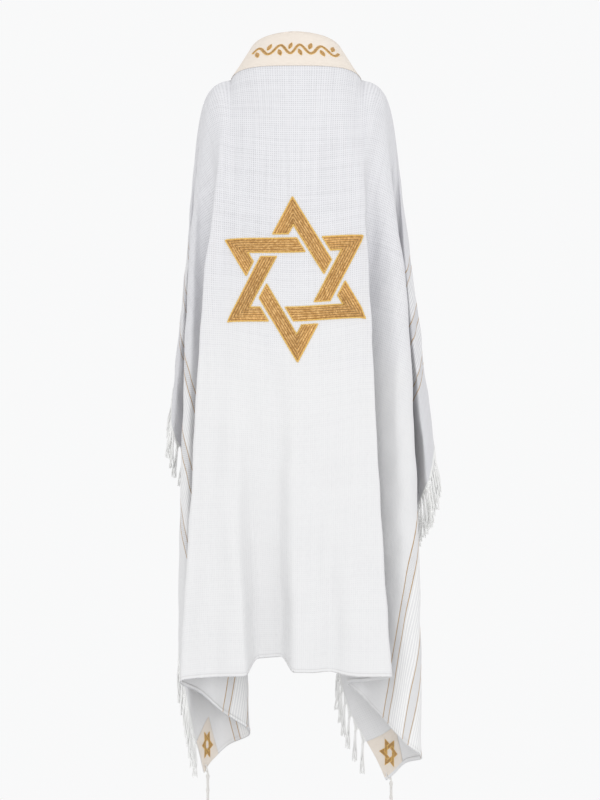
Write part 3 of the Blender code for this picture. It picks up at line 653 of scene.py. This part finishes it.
class Finish:
    """One material: its shader, and the fields and colours that feed it."""

    def __init__(self, name, constants):
        self.material = bpy.data.materials.new(name)
        self.material.use_nodes = True
        self.tree = self.material.node_tree
        self.shader = self.tree.nodes["Principled BSDF"]
        for socket, value in constants.items():
            self.shader.inputs[socket].default_value = value

    def feed(self, socket, value):
        if isinstance(value, Field):
            value = value.socket
        if isinstance(value, bpy.types.NodeSocket):
            self.tree.links.new(value, socket)
        else:
            socket.default_value = value

    def node(self, kind, settings, inputs):
        node = self.tree.nodes.new(kind)
        for setting, value in settings.items():
            setattr(node, setting, value)
        for socket, value in inputs.items():
            self.feed(node.inputs[socket], value)
        return node

    def flat_place(self):
        place = self.node("ShaderNodeUVMap", {"uv_map": "flat"}, {})
        parts = self.node("ShaderNodeSeparateXYZ", {}, {0: place.outputs[0]})
        return Field(self, parts.outputs[0]), Field(self, parts.outputs[1])

    def grain(self, scale, detail=2.0, stretch=(1.0, 1.0)):
        place = self.node("ShaderNodeUVMap", {"uv_map": "flat"}, {})
        sized = self.node("ShaderNodeMapping", {}, {0: place.outputs[0], "Scale": (*stretch, 1.0)})
        return self.noise({"Vector": sized.outputs[0], "Scale": scale, "Detail": detail})

    def noise(self, inputs):
        return Field(self, self.node("ShaderNodeTexNoise", {}, inputs).outputs[0])

    def ramp(self, value, start, end, low=0.0, high=1.0):
        inputs = {"Value": value, "From Min": start, "From Max": end, "To Min": low, "To Max": high}
        node = self.node("ShaderNodeMapRange", {"interpolation_type": "SMOOTHSTEP"}, inputs)
        return Field(self, node.outputs[0])

    def near(self, distance, half, before, beyond):
        """1 within a half width, and 0 outside it. The change starts and ends this far from it."""
        return self.ramp(abs(distance), half - before, half + beyond, 1.0, 0.0)

    def bands(self, distance, pairs, before, beyond):
        """1 in each band between a pair of distances."""
        return sum(
            self.near(distance - (first + last) / 2, (last - first) / 2, before, beyond)
            for first, last in pairs
        )

    def blend(self, share, first, second):
        inputs = {0: share, 6: colour(first), 7: colour(second)}
        return self.node("ShaderNodeMix", {"data_type": "RGBA"}, inputs).outputs[2]

    def bump(self, height, distance):
        return self.node("ShaderNodeBump", {}, {"Height": height, "Distance": distance}).outputs[0]

    def give(self, **sockets):
        for socket, value in sockets.items():
            self.feed(self.shader.inputs[socket.replace("_", " ")], value)
        return self.material


def colour(value):
    return (*value, 1.0) if isinstance(value, tuple) and len(value) == 3 else value


def wave(field, period):
    return (field * (TURN / period)).sine()


def wool_finish():
    """Gauze wool with its woven stripes, from the flat place of each point."""
    constants = {"Sheen Weight": 0.1, "Sheen Roughness": 0.6, "Specular IOR Level": 0.15}
    wool = Finish("white_wool_weave", constants)
    across, down = wool.flat_place()
    warp = wave(across, WEAVE_PERIOD)
    weft = wave(down, WEAVE_PERIOD)
    slub = wool.grain(260.0, 3.0, (1.0, 0.35))
    streaks = wool.grain(170.0, 2.0, (1.0, 0.03)) + wool.grain(170.0, 2.0, (0.03, 1.0)) - 1.0
    cloud = wool.grain(9.0, 3.0)
    holes = (warp * 0.5 + 0.5) * (weft * 0.5 + 0.5)
    open_weave = wool.ramp(down + (cloud - 0.5) * 0.3, 0.42, 0.78, 1.0, 0.30)
    edge = HALF_WIDTH - abs(across)
    lines = sum(wool.near(edge - place, STRIPE_HALF, 0.0003, 0.0003) for place in STRIPES)
    check = (wave(edge, CHECK_PERIOD) * wave(down, CHECK_PERIOD)).most(0.0)
    check = wool.bands(edge, MESH_BANDS, 0.0005, 0.0) * check
    bars = wave(edge, BAR_PERIOD).most(0.0)
    bars = wool.bands(edge, SATIN_BANDS, 0.004, -0.002) * bars
    hem_line = wool.near(HEIGHT - HEM_WIDTH - down, 0.0004, 0.0, 0.0006)
    shade = holes * open_weave * 0.85 + check * 0.85 + hem_line * 0.35
    shade = shade + streaks * open_weave * 0.55 + (slub - 0.5) * 0.25 + (cloud - 0.5) * 0.10
    thread = wool.blend(open_weave, (0.712, 0.712, 0.709), (0.712, 0.712, 0.734))
    white = wool.blend(shade.share(), thread, (0.48, 0.48, 0.50))
    satin = wool.blend(bars * 0.9, white, (0.86, 0.86, 0.85))
    gold = wool.blend((slub * 1.4 - 0.2).share(), (0.30, 0.155, 0.045), (0.56, 0.36, 0.14))
    tint = wool.blend(lines.least(1.0), satin, gold)
    height = warp * weft * open_weave * 0.5 + slub * 0.6 + check * 0.8 + bars * 0.7 + lines * 0.8
    return wool.give(Base_Color=tint, Roughness=0.82 - bars * 0.25, Normal=wool.bump(height, 0.00045))


def cream_finish():
    """Close cream cotton rep, for the collar band and the corner patches."""
    cream = Finish("cream_cotton_rep", {"Sheen Weight": 0.12, "Specular IOR Level": 0.25})
    across, down = cream.flat_place()
    ribs = wave(down, 0.0019)
    threads = wave(across, 0.0013)
    slub = cream.grain(320.0, 3.0, (0.3, 1.0))
    cloud = cream.grain(14.0, 2.0)
    shade = 0.25 + ribs * 0.12 + (slub - 0.5) * 0.5 + (cloud - 0.5) * 0.25
    tint = cream.blend(shade.share(), (0.825, 0.755, 0.680), (0.720, 0.635, 0.545))
    height = ribs * 0.5 + threads * 0.3 + slub * 0.5
    normal = cream.bump(height, 0.0003)
    return cream.give(Base_Color=tint, Roughness=0.68 + slub * 0.15, Normal=normal)


def satin_gold_finish():
    """Gold satin stitch. The flat place holds the share across the ribbon and the metres along it."""
    constants = {"Sheen Weight": 0.1, "Anisotropic": 0.35, "Specular IOR Level": 0.5}
    gold = Finish("gold_satin_stitch", constants)
    across, along = gold.flat_place()
    rows = (across * (TURN * 6.0)).sine()
    # Painted shade: the gold is blended towards dark brown in the furrows between the rows of stitches
    furrow_shade = (rows * -1.0 - 0.45).most(0.0) * 1.8
    threads = (along * (TURN / 0.0009) + rows * 0.8).sine()
    streak = gold.grain(60.0, 3.0, (0.5, 9.0))
    # The gold is lighter and darker along the thread streaks and in broad patches of painted sheen
    sheen = gold.noise({"Scale": 21.0, "Detail": 1.0})
    light = (streak - 0.32) * 1.5 + (sheen - 0.48) * 2.6
    body = gold.blend(light.share(), (0.560, 0.290, 0.075), (0.960, 0.590, 0.225))
    tint = gold.blend(furrow_shade.least(0.85), body, (0.240, 0.105, 0.028))
    normal = gold.bump(rows * 0.7 + threads * 0.35 + streak * 0.4, 0.0004)
    rough = 0.40 + streak * 0.2
    return gold.give(Base_Color=tint, Roughness=rough, Metallic=0.18 + streak * 0.15, Normal=normal)


def cord_gold_finish():
    """Pale gold cord, couched round each embroidered shape."""
    cord = Finish("pale_gold_cord", {"Sheen Weight": 0.1, "Specular IOR Level": 0.5})
    across, along = cord.flat_place()
    twist = (along * (TURN / 0.0022) + across * TURN).sine()
    speck = cord.grain(400.0, 2.0)
    # Painted shade and light: darker gold in the grooves of the twist, brighter on its ridges; the
    # specks are random tone
    light = (twist * 0.35 + speck * 0.7).share()
    tint = cord.blend(light, (0.74, 0.43, 0.085), (1.00, 0.76, 0.260))
    normal = cord.bump(twist, 0.0003)
    rough = 0.42 + speck * 0.15
    return cord.give(Base_Color=tint, Roughness=rough, Metallic=0.15 + speck * 0.1, Normal=normal)


def yarn_finish(name, light, dark, period):
    """Twisted white yarn. The flat place holds the turn round it and the metres along it."""
    yarn = Finish(name, {"Sheen Weight": 0.2, "Specular IOR Level": 0.15})
    across, along = yarn.flat_place()
    twist = (along * (TURN / period) + across * TURN).sine()
    fuzz = yarn.grain(500.0, 2.0, (0.02, 1.0))
    # Painted shade: the yarn turns to its dark tone in the grooves of its twist; the fuzz adds random
    # tone
    shade = 0.35 - twist * 0.35 + (fuzz - 0.5) * 0.7
    tint = yarn.blend(shade.share(), light, dark)
    normal = yarn.bump(twist * 0.6 + fuzz * 0.5, 0.0004)
    return yarn.give(Base_Color=tint, Roughness=0.8 + fuzz * 0.1, Normal=normal)


def thread_finish(name, tint):
    thread = Finish(name, {"Sheen Weight": 0.1})
    share = thread.noise({"Scale": 900.0, "Detail": 1.0})
    deep = tuple(part * 0.8 for part in tint)
    return thread.give(Base_Color=thread.blend(share, deep, tint), Roughness=0.7 + share * 0.1)


# The cloth and its hem
def edge_angle(across, down):
    return math.degrees(math.atan2(across - SHOULDER_U, down - SHOULDER_V))


def cloth_places(spokes, rows, strips, top_rows):
    """Flat places and faces of the whole cloth: two fans, the strip between them and the top strip."""
    over = HALF_WIDTH - SHOULDER_U
    below = HEIGHT - SHOULDER_V
    shares = np.linspace(0.0, 1.0, rows + 1) ** 0.9
    corner = edge_angle(HALF_WIDTH, HEIGHT)
    to_corner = max(2, round(spokes * corner / 90))
    to_hem = np.linspace(0, corner, to_corner + 1)
    to_side = np.linspace(corner, 90, spokes - to_corner + 1)
    turn = np.radians(np.concatenate([to_hem, to_side[1:]]))
    reach = np.minimum(below / np.maximum(np.cos(turn), 1e-9), over / np.maximum(np.sin(turn), 1e-9))
    top = SHOULDER_V * np.linspace(0, 1, top_rows + 1)
    grids = []
    for hand in (-1, 1):
        across = hand * (SHOULDER_U + np.outer(shares, np.sin(turn) * reach))
        down = SHOULDER_V + np.outer(shares, np.cos(turn) * reach)
        grids.append((across, down, hand < 0))
        grids.append((*np.meshgrid(hand * (SHOULDER_U + over * shares), top), hand < 0))
    columns = np.linspace(-SHOULDER_U, SHOULDER_U, strips + 1)
    grids.append((*np.meshgrid(columns, SHOULDER_V + below * shares), False))
    grids.append((*np.meshgrid(columns, top), False))
    places = []
    faces = []
    count = 0
    for across, down, turned in grids:
        faces.append(quad_faces(*across.shape, turned=turned) + count)
        places.append(np.stack([across, down], axis=-1).reshape(-1, 2))
        count += across.size
    places = np.round(np.concatenate(places), 6)
    places, index = np.unique(places, axis=0, return_inverse=True)
    faces = index.reshape(-1)[np.concatenate(faces)]
    whole = np.array([len(set(face)) == 4 for face in faces])
    slivers = [list(dict.fromkeys(face)) for face in faces[~whole]]
    threes = np.array([face for face in slivers if len(face) == 3])
    return places, np.concatenate([in_threes(faces[whole]), threes])


def build_cloth(material):
    spokes, rows, strips, top_rows = (168, 100, 34, 12) if FINE else (110, 60, 24, 8)
    places, triangles = cloth_places(spokes, rows, strips, top_rows)
    count = len(places)
    across, down = places[:, 0], places[:, 1]
    faces_of_wall = [on_cloth(across, down, side * SHOWN_HALF_WALL) for side in (1, -1)]
    edges = np.concatenate([triangles[:, [0, 1]], triangles[:, [1, 2]], triangles[:, [2, 0]]])
    forward = {(int(a), int(b)) for a, b in edges}
    rim = np.array([edge for edge in forward if (edge[1], edge[0]) not in forward])
    first, after = rim[:, 0], rim[:, 1]
    sides = in_threes(np.stack([after, first, first + count, after + count], axis=1))
    form = Form()
    faces = np.concatenate([triangles, triangles[:, ::-1] + count, sides])
    form.add(np.concatenate(faces_of_wall), faces, np.concatenate([places, places]))
    return form.piece("shawl_cloth", material, ["cloth"])


def hem_columns():
    return np.linspace(-HALF_WIDTH + HEM_INSET, HALF_WIDTH - HEM_INSET, 460 if FINE else 240)


def build_hem(material):
    """The bottom hem, turned to the inside."""
    form = Form()
    rows = np.linspace(HEIGHT - HEM_WIDTH, HEIGHT - 0.0005, 4)
    across, down = np.meshgrid(hem_columns(), rows)
    even = np.ones_like(across)
    swell = np.array([0.0, HEM_SWELL, HEM_SWELL, 0.0])[:, None] * even
    add_slab(form, across, down, -WALL / 2 - HEM_FOLD - swell, -0.0006 * even)
    return form.piece("shawl_hem", material, [])


def build_hem_roll(material):
    """The soft rolled edge of the hem."""
    form = Form()
    path = on_cloth(hem_columns(), HEIGHT - 0.0002, -0.0004)
    add_tube(form, path, HEM_ROLL_RADIUS, ridge=HEM_ROLL_RADIUS / 10, pitch=0.006)
    return form.piece("shawl_hem_roll", material, [])


# Collar band and corner patches
def dent(distance, half_width):
    return np.exp(-((distance / half_width) ** 2))


def build_collar(material):
    form = Form()
    columns = np.linspace(-COLLAR_HALF_LENGTH, COLLAR_HALF_LENGTH, 300 if FINE else 160)
    across, down = np.meshgrid(columns, np.linspace(0.0, SHOULDER_V - 0.0004, 28))
    from_seam = SHOULDER_V - down
    edge = np.minimum(np.minimum(down, from_seam), COLLAR_HALF_LENGTH - np.abs(across))
    puff = TRIM_WALL * (0.35 + 0.65 * smooth_step(edge / 0.0035))
    groove = dent(from_seam - SEAM_INSET, GROOVE_HALF) + dent(down - SEAM_INSET, GROOVE_HALF)
    pull = PULL_DEPTH * np.sin(across * TURN / PULL_PERIOD) * dent(from_seam - 0.012, 0.012)
    high = UNDER_TRIM + puff - GROOVE_DEPTH * groove + pull
    add_slab(form, across, down, UNDER_TRIM, high)
    return form.piece("shawl_collar", material, ["collar_band"])


def build_collar_piping(material):
    """The band's folded top edge, which wraps over the edge of the cloth."""
    form = Form()
    columns = np.linspace(-COLLAR_HALF_LENGTH, COLLAR_HALF_LENGTH, 260 if FINE else 140)
    add_tube(form, on_cloth(columns, 0.0004, 0.0006), PIPING_RADIUS, sides=8)
    return form.piece("shawl_collar_piping", material, [])


def corner_patches():
    """Each patch: the name of its place, its middle on the flat cloth, and -1 for the inner face."""
    patches = []
    for end, down in (("top", PATCH_SIDE / 2), ("bottom", HEIGHT - PATCH_SIDE / 2)):
        for side, hand in (("left", -1), ("right", 1)):
            for face, turn in (("outer", 1), ("inner", -1)):
                middle = (hand * (HALF_WIDTH - PATCH_SIDE / 2), down)
                patches.append((f"{end}_{side}_{face}", middle, turn))
    return patches


def build_patch(name, middle, turn, material):
    form = Form()
    half = PATCH_SIDE / 2 - 0.0006
    steps = np.linspace(-half, half, 27)
    across, down = np.meshgrid(middle[0] + steps, middle[1] + steps)
    edge = half - np.maximum(np.abs(across - middle[0]), np.abs(down - middle[1]))
    puff = TRIM_WALL * (0.4 + 0.6 * smooth_step(edge / 0.003)) - 0.0004 * dent(edge - 0.0045, 0.0015)
    add_on_face(form, across, down, turn, UNDER_TRIM, puff)
    return form.piece(f"corner_patch_{name}", material, [f"patch_{name}"])


def build_sewing(material):
    """Every row of stitches that shows: collar seam and top edge, hem and the borders of the patches."""
    form = Form()
    sunk = ON_TRIM - 0.0003
    run = np.linspace(-COLLAR_HALF_LENGTH + 0.004, COLLAR_HALF_LENGTH - 0.004, 240)
    add_stitches(form, run, SHOULDER_V - SEAM_INSET, sunk)
    add_stitches(form, run, SEAM_INSET, sunk)
    for hand in (-1, 1):
        end = hand * (COLLAR_HALF_LENGTH - 0.005)
        add_stitches(form, end, np.linspace(0.008, SHOULDER_V - 0.008, 20), sunk)
    run = np.linspace(-HALF_WIDTH + PATCH_SIDE, HALF_WIDTH - PATCH_SIDE, 400)
    for height in (0.0006, -WALL / 2 - 0.0014):
        add_stitches(form, run, HEIGHT - HEM_WIDTH + 0.001, height)
    half = PATCH_SIDE / 2 - 0.0050
    corners = [(-half, -half), (half, -half), (half, half), (-half, half), (-half, -half)]
    for name, middle, turn in corner_patches():
        for start, stop in zip(corners, corners[1:]):
            across = middle[0] + np.linspace(start[0], stop[0], 16)
            down = middle[1] + np.linspace(start[1], stop[1], 16)
            add_stitches(form, across, down, turn * (ON_TRIM - 0.0002))
    return form.piece("shawl_sewing", material, [])


# Embroidery
def crossing(first, first_far, second, second_far):
    return np.linalg.solve(np.array([first, second]), np.array([first_far, second_far]))


def star_corners(normals, tip, radius, ribbon, gap):
    """Corners of one bent ribbon of the woven star, from its short end round the tip to its long end."""
    behind, here, ahead, beyond = (normals[(tip + step) % 6] for step in (-1, 0, 1, 2))
    outer = radius / 2
    inner = outer - ribbon
    short = crossing(behind, outer, here, outer + gap), crossing(behind, inner, here, outer + gap)
    point = crossing(behind, outer, ahead, outer), crossing(behind, inner, ahead, inner)
    far = crossing(ahead, outer, beyond, inner - gap), crossing(ahead, inner, beyond, inner - gap)
    return short, point, far


def between(first, last, steps):
    first = np.array(first)
    last = np.array(last)
    return [first + (last - first) * share for share in np.linspace(0.0, 1.0, steps + 1)[:-1]]


def star_bands(turn, sizes, short_steps, long_steps):
    """The stations and the outline of each of the six ribbons."""
    angles = [math.pi / 2 + turn - math.radians(60 * tip) for tip in range(6)]
    normals = [np.array([math.cos(angle), math.sin(angle)]) for angle in angles]
    for tip in range(6):
        short, point, far = star_corners(normals, tip, **sizes)
        stations = between(short, point, short_steps) + between(point, far, long_steps)
        yield stations + [np.array(far)], outline_of([short, point, far])


def add_satin(form, stations, centre, turn, low, crown, lanes, furrows=0):
    """A crowned band of satin stitch between the two edges of its stations, on either face."""
    stations = np.array(stations)
    share = np.linspace(0.0, 1.0, lanes + 1)
    spots = stations[:, :1] * (1 - share)[None, :, None] + stations[:, 1:] * share[None, :, None]
    far = distances(stations.mean(axis=1))
    height = SATIN_BASE + crown * (1 - np.abs(2 * share - 1) ** 3)
    if furrows:
        height = height - 0.25 * crown * np.maximum(0, -np.sin(TURN * furrows * share) - 0.3)
    end = np.minimum(far, far[-1] - far)
    height = height[None, :] * (0.55 + 0.45 * smooth_step(end / SATIN_END))[:, None]
    places = np.stack(np.broadcast_arrays(share, far[:, None]), axis=-1)
    across = centre[0] + spots[..., 0]
    down = centre[1] - spots[..., 1]
    add_on_face(form, across, down, turn, low, height, places)


def outline_of(stations):
    """The closed outline of a band, out along one edge and back along the other."""
    stations = np.array(stations)
    return np.concatenate([stations[:, 0], stations[::-1, 1], stations[:1, 0]])


def resampled(outline, spacing):
    """The same closed outline with a point at least this often, its corners kept."""
    far = distances(outline)
    spots = np.unique(np.concatenate([np.arange(0, far[-1], spacing), far]))
    return np.stack([np.interp(spots, far, outline[:, axis]) for axis in (0, 1)], axis=1)


def add_outline(form, outline, centre, turn, height, radius, spacing):
    """A cord couched round an outline on the flat cloth."""
    spots = resampled(outline, spacing)
    path = on_cloth(centre[0] + spots[:, 0], centre[1] - spots[:, 1], turn * height)
    keep = np.concatenate([[True], np.linalg.norm(np.diff(path, axis=0), axis=1) > 1e-5])
    add_tube(form, path[keep], radius, ridge=radius * 0.16, pitch=0.0026)


def sagged(places):
    """The star's places, lower towards the sides, so that it hangs true across the curved back."""
    places = np.array(places)
    places[..., 1] -= STAR_SAG * (places[..., 0] / SHOULDER_U) ** 2
    return places


def build_large_star(satin, cord):
    edges = Form()
    pieces = []
    low = WALL / 2 + 0.0002
    short_steps, long_steps = (16, 48) if FINE else (8, 24)
    bands = star_bands(STAR_TURN, LARGE_STAR, short_steps, long_steps)
    for number, (stations, outline) in enumerate(bands, 1):
        form = Form()
        add_satin(form, sagged(stations), STAR_PLACE, 1, low, STAR_CROWN, 24, furrows=6)
        pieces.append(form.piece(f"star_satin_{number}", satin, [f"star_ribbon_{number}"]))
        outline = sagged(resampled(outline, 0.004))
        add_outline(edges, outline, STAR_PLACE, 1, WALL / 2 + 0.0007, COUCHED_CORD, 0.004)
    pieces.append(edges.piece("star_outline_cord", cord, []))
    return pieces


def build_small_stars(satin, cord):
    pieces = []
    edges = Form()
    for name, middle, turn in corner_patches():
        form = Form()
        for stations, outline in star_bands(0.0, SMALL_STAR, 5, 12):
            add_satin(form, stations, middle, turn, ON_TRIM, SMALL_STAR_CROWN, 8)
            add_outline(edges, outline, middle, turn, ON_TRIM + 0.0004, FINE_CORD, 0.003)
        pieces.append(form.piece(f"corner_star_{name}", satin, [f"small_star_{name}"]))
    pieces.append(edges.piece("corner_star_outlines", cord, []))
    return pieces


def vine_point(along):
    return np.array([along, VINE_SWING * math.sin(TURN * VINE_WAVES * along / (2 * VINE_HALF_LENGTH))])


def vine_stations():
    for along in np.linspace(-VINE_HALF_LENGTH, VINE_HALF_LENGTH, 97):
        ahead = unit(vine_point(along + 0.001) - vine_point(along - 0.001))
        aside = np.array([-ahead[1], ahead[0]]) * VINE_WIDTH / 2
        yield vine_point(along) + aside, vine_point(along) - aside


def leaf_stations(leaf):
    """Stations of the leaf in one of the vine's bends, from its foot to its tip."""
    along = -VINE_HALF_LENGTH + (leaf + 0.5) * VINE_HALF_LENGTH / VINE_WAVES
    rise = -math.copysign(1.0, vine_point(along)[1])
    middle = np.array([along, rise * VINE_SWING * 0.75])
    lean = unit(np.array([LEAF_LEAN, rise]))
    aside = np.array([-lean[1], lean[0]])
    for share in np.linspace(0.0, 1.0, 17):
        half = LEAF_WIDTH / 2 * (LEAF_TIP + (1 - LEAF_TIP) * math.sin(math.pi * share))
        spot = middle + lean * LEAF_LENGTH * (share - 0.5)
        yield spot + aside * half, spot - aside * half


def build_collar_ornament(satin, cord):
    """A waving stem with a leaf in each bend, in satin stitch with a couched cord round every leaf."""
    form = Form()
    edges = Form()
    shapes = [(list(vine_stations()), VINE_CROWN, 8, 0)]
    shapes += [(list(leaf_stations(leaf)), LEAF_CROWN, 10, 2) for leaf in range(2 * VINE_WAVES)]
    for stations, crown, lanes, furrows in shapes:
        add_satin(form, stations, (0.0, VINE_MIDDLE), 1, ON_TRIM, crown, lanes, furrows)
        outline = outline_of(stations)
        add_outline(edges, outline, (0.0, VINE_MIDDLE), 1, ON_TRIM + 0.0003, FINE_CORD, 0.002)
    names = ["collar_vine"] + [f"collar_leaf_{leaf + 1}" for leaf in range(2 * VINE_WAVES)]
    ornament = form.piece("collar_vine_stitching", satin, names)
    return [ornament, edges.piece("collar_vine_cord", cord, [])]


# Fringe and cords
def beyond_edge(hand, down, past):
    """Points past the fringed edge, on the spokes that meet the edge at these places."""
    down, past = np.broadcast_arrays(np.asarray(down, float), np.asarray(past, float))
    over = HALF_WIDTH - SHOULDER_U
    below = down - SHOULDER_V
    spoke = np.hypot(over, below)
    return on_cloth(hand * (HALF_WIDTH + over / spoke * past), down + below / spoke * past)


def add_tassel(form, hand, middle, spacing, chance):
    """Yarns drawn together in a knot below the edge, and hanging free from there."""
    far = np.linspace(0.0, TASSEL_LENGTH, 15 if FINE else 9)
    spine = beyond_edge(hand, middle, far)
    ahead = unit(spine[-1] - spine[0])
    edge_way = unit(beyond_edge(hand, middle + 0.002, 0.0) - beyond_edge(hand, middle - 0.002, 0.0))
    square = unit(np.cross(ahead, edge_way))
    flat_way = np.cross(square, ahead)
    tight = smooth_step(far / KNOT_PLACE)[:, None]
    loose = smooth_step((far - KNOT_PLACE) / (TASSEL_LENGTH - KNOT_PLACE))[:, None]
    sway = chance.normal(0.0, SWAY, 2)
    lean = loose**1.5 * (sway[0] * flat_way + sway[1] * square)
    for yarn in range(YARNS):
        spread = ((yarn + 0.5) / YARNS - 0.5) * spacing * 0.92
        wind = (TURN * yarn / YARNS + chance.uniform(0, 0.6) + far * YARN_WIND)[:, None]
        around = np.cos(wind) * flat_way + np.sin(wind) * square
        bundle = (TIGHT_REACH * tight + LOOSE_REACH * loose) * around
        cut = 1.0 - UNEVEN_CUT * chance.random()
        path = spine[:1] + (spine - spine[:1]) * cut + edge_way * spread * (1 - tight) + bundle + lean
        add_tube(form, path, YARN_RADIUS, sides=5, ridge=0.00010, pitch=0.004)
    steps = KNOT_PLACE + np.linspace(-KNOT_HALF, KNOT_HALF, len(KNOT_RADII))
    add_tube(form, beyond_edge(hand, middle, steps), KNOT_RADII, sides=9, ridge=0.00035, pitch=0.0034)


def build_fringe(side, hand, material):
    form = Form()
    chance = np.random.default_rng(7 if hand > 0 else 11)
    clear = PATCH_SIDE + FRINGE_CLEAR
    middles = np.linspace(clear, HEIGHT - clear, TASSELS)
    for middle in middles:
        add_tassel(form, hand, middle, middles[1] - middles[0], chance)
    past = clear - HEADER_PAST
    run = np.linspace(past, HEIGHT - past, 300 if FINE else 160)
    header = beyond_edge(hand, run, STRIP_GAP * 0.4)
    add_tube(form, header, HEADER_RADIUS, ridge=0.00025, pitch=0.0030)
    return form.piece(f"fringe_yarns_{side}", material, [f"fringe_{side}"])


def near_eye(end, hand, inside, height):
    """A point by the corner's eye, so far inside the edge that the cord hangs over."""
    if end == "bottom":
        return plain_lift(hand * (HALF_WIDTH - TZITZIT_EYE), HEIGHT - inside, height)
    return plain_lift(hand * (HALF_WIDTH - inside), TZITZIT_EYE, height)


def build_tzitzit(end, side, hand, material):
    """A cord drawn through the corner's eye, its knots and close winding, and eight free ends."""
    form = Form()
    over = [
        near_eye(end, hand, inside, ON_TRIM + GAP + TZITZIT_LIFT)
        for inside in (TZITZIT_EYE, TZITZIT_EYE / 2, TZITZIT_EYE / 8)
    ]
    start = over[-1] * 2 - over[-2]
    behind = near_eye(end, hand, TZITZIT_EYE / 3, -0.004)
    eye = near_eye(end, hand, TZITZIT_EYE, -0.002)
    loop = [start + np.array([0, 0, -0.003]), behind, eye, *over, start]
    add_tube(form, spline(loop, 36), TZITZIT_LOOP_RADIUS, sides=7, ridge=0.00018, pitch=0.0040)
    below, radii = np.array([(0.0, 0.0014), *TZITZIT_HEAD]).T
    steps = np.arange(0.0, below[-1] + 0.0002, 0.0004 if FINE else 0.0008)
    path = start + np.outer(steps, (0.0, 0.0, -1.0))
    reach = np.interp(steps, below, radii)
    add_tube(form, path, reach - 0.0003, sides=10, ridge=0.00042, pitch=0.0019)
    foot = path[-1]
    chance = np.random.default_rng(3 if hand > 0 else 5)
    share = np.linspace(0.0, 1.0, 26)
    for cord in range(TZITZIT_CORDS):
        turn = TURN * (cord + 0.5) / TZITZIT_CORDS
        out = np.array([math.cos(turn), math.sin(turn), 0.0])
        aside = np.array([-out[1], out[0], 0.0])
        drop = TZITZIT_CORD_LENGTH * (1 - UNEVEN_CUT * chance.random())
        wander = CORD_WANDER * np.sin(share * 9.0 + chance.uniform(0, 6.0)) * share
        spread = CORD_ROOT + CORD_SPREAD * np.sin(share * math.pi / 2)
        path = foot + np.outer(spread, out) + np.outer(wander, aside)
        path[:, 2] -= drop * share - 0.003
        add_tube(form, path, TZITZIT_CORD_RADIUS, ridge=0.00022, pitch=0.0042)
        tip = path[-1] + np.outer((0.001, -0.0005, -0.002, -0.0035), (0.0, 0.0, 1.0))
        add_tube(form, tip, (TZITZIT_CORD_RADIUS, 0.0019, 0.0019, 0.0008), sides=7)
    return form.piece(f"tzitzit_cords_{end}_{side}", material, [f"tzitzit_{end}_{side}"])


def spline(points, count):
    """A smooth path through a few points."""
    points = np.array(points)
    far = distances(points)
    return smooth_curve(far, points, np.linspace(0, far[-1], count))


# Studio
def build_studio():
    floor_finish = Finish("pale_floor", {"Base Color": (0.90, 0.90, 0.90, 1.0), "Roughness": 0.9})
    turns = np.linspace(0, TURN, 97)[:-1]
    rim = [(FLOOR_RADIUS * math.cos(turn), FLOOR_RADIUS * math.sin(turn), FLOOR_LEVEL) for turn in turns]
    mesh = bpy.data.meshes.new("studio_floor")
    mesh.from_pydata(rim, [], [tuple(range(len(rim)))])
    mesh.materials.append(floor_finish.material)
    placed("studio_floor", mesh)
    world = bpy.data.worlds.new("studio_air")
    bpy.context.scene.world = world
    world.use_nodes = True
    air = world.node_tree.nodes["Background"]
    air.inputs["Color"].default_value = (0.945, 0.947, 0.95, 1.0)
    air.inputs["Strength"].default_value = 1.0
    soft_light("left_window", (-2.2, -3.0, 0.9), 2.4, 9.0)
    soft_light("right_window", (2.6, -2.6, -0.1), 2.0, 8.0)
    soft_light("front_panel", (0.1, -4.4, -0.3), 1.6, 40.0)
    soft_light("top_panel", (0.4, -0.6, 2.6), 2.2, 6.0)


def soft_light(name, place, size, power):
    light = bpy.data.lights.new(name, "AREA")
    light.shape = "DISK"
    light.size = size
    light.energy = power
    lamp = placed(name, light)
    lamp.location = place
    lamp.rotation_euler = (Vector((0, 0, -0.5)) - Vector(place)).to_track_quat("-Z", "Y").to_euler()


def build_camera():
    lens = bpy.data.cameras.new("studio_camera")
    lens.sensor_fit = "VERTICAL"
    lens.sensor_height = SENSOR
    lens.lens = LENS
    camera = placed("studio_camera", lens)
    camera.location = CAMERA_PLACE
    camera.rotation_euler = (math.pi / 2, 0.0, 0.0)
    bpy.context.scene.camera = camera


def main():
    bpy.context.scene.view_settings.view_transform = "Standard"
    build_camera()
    build_studio()
    wool = wool_finish()
    cream = cream_finish()
    satin = satin_gold_finish()
    cord = cord_gold_finish()
    yarn = yarn_finish("white_fringe_yarn", (0.90, 0.90, 0.89), (0.76, 0.76, 0.75), 0.0040)
    ply = yarn_finish("cream_ply_cord", (0.90, 0.89, 0.87), (0.62, 0.60, 0.57), 0.0019)
    thread = thread_finish("cream_sewing_thread", (0.86, 0.82, 0.75))
    cloth = build_cloth(wool)
    going = [build_hem(wool), build_hem_roll(wool), build_collar_piping(cream), build_sewing(thread)]
    collar = build_collar(cream)
    for name, middle, turn in corner_patches():
        going.append(build_patch(name, middle, turn, cream))
    going += build_large_star(satin, cord)
    going += build_small_stars(satin, cord)
    going += build_collar_ornament(satin, cord)
    for side, hand in (("left", -1), ("right", 1)):
        going.append(build_fringe(side, hand, yarn))
        for end in ("top", "bottom"):
            going.append(build_tzitzit(end, side, hand, ply))


main()
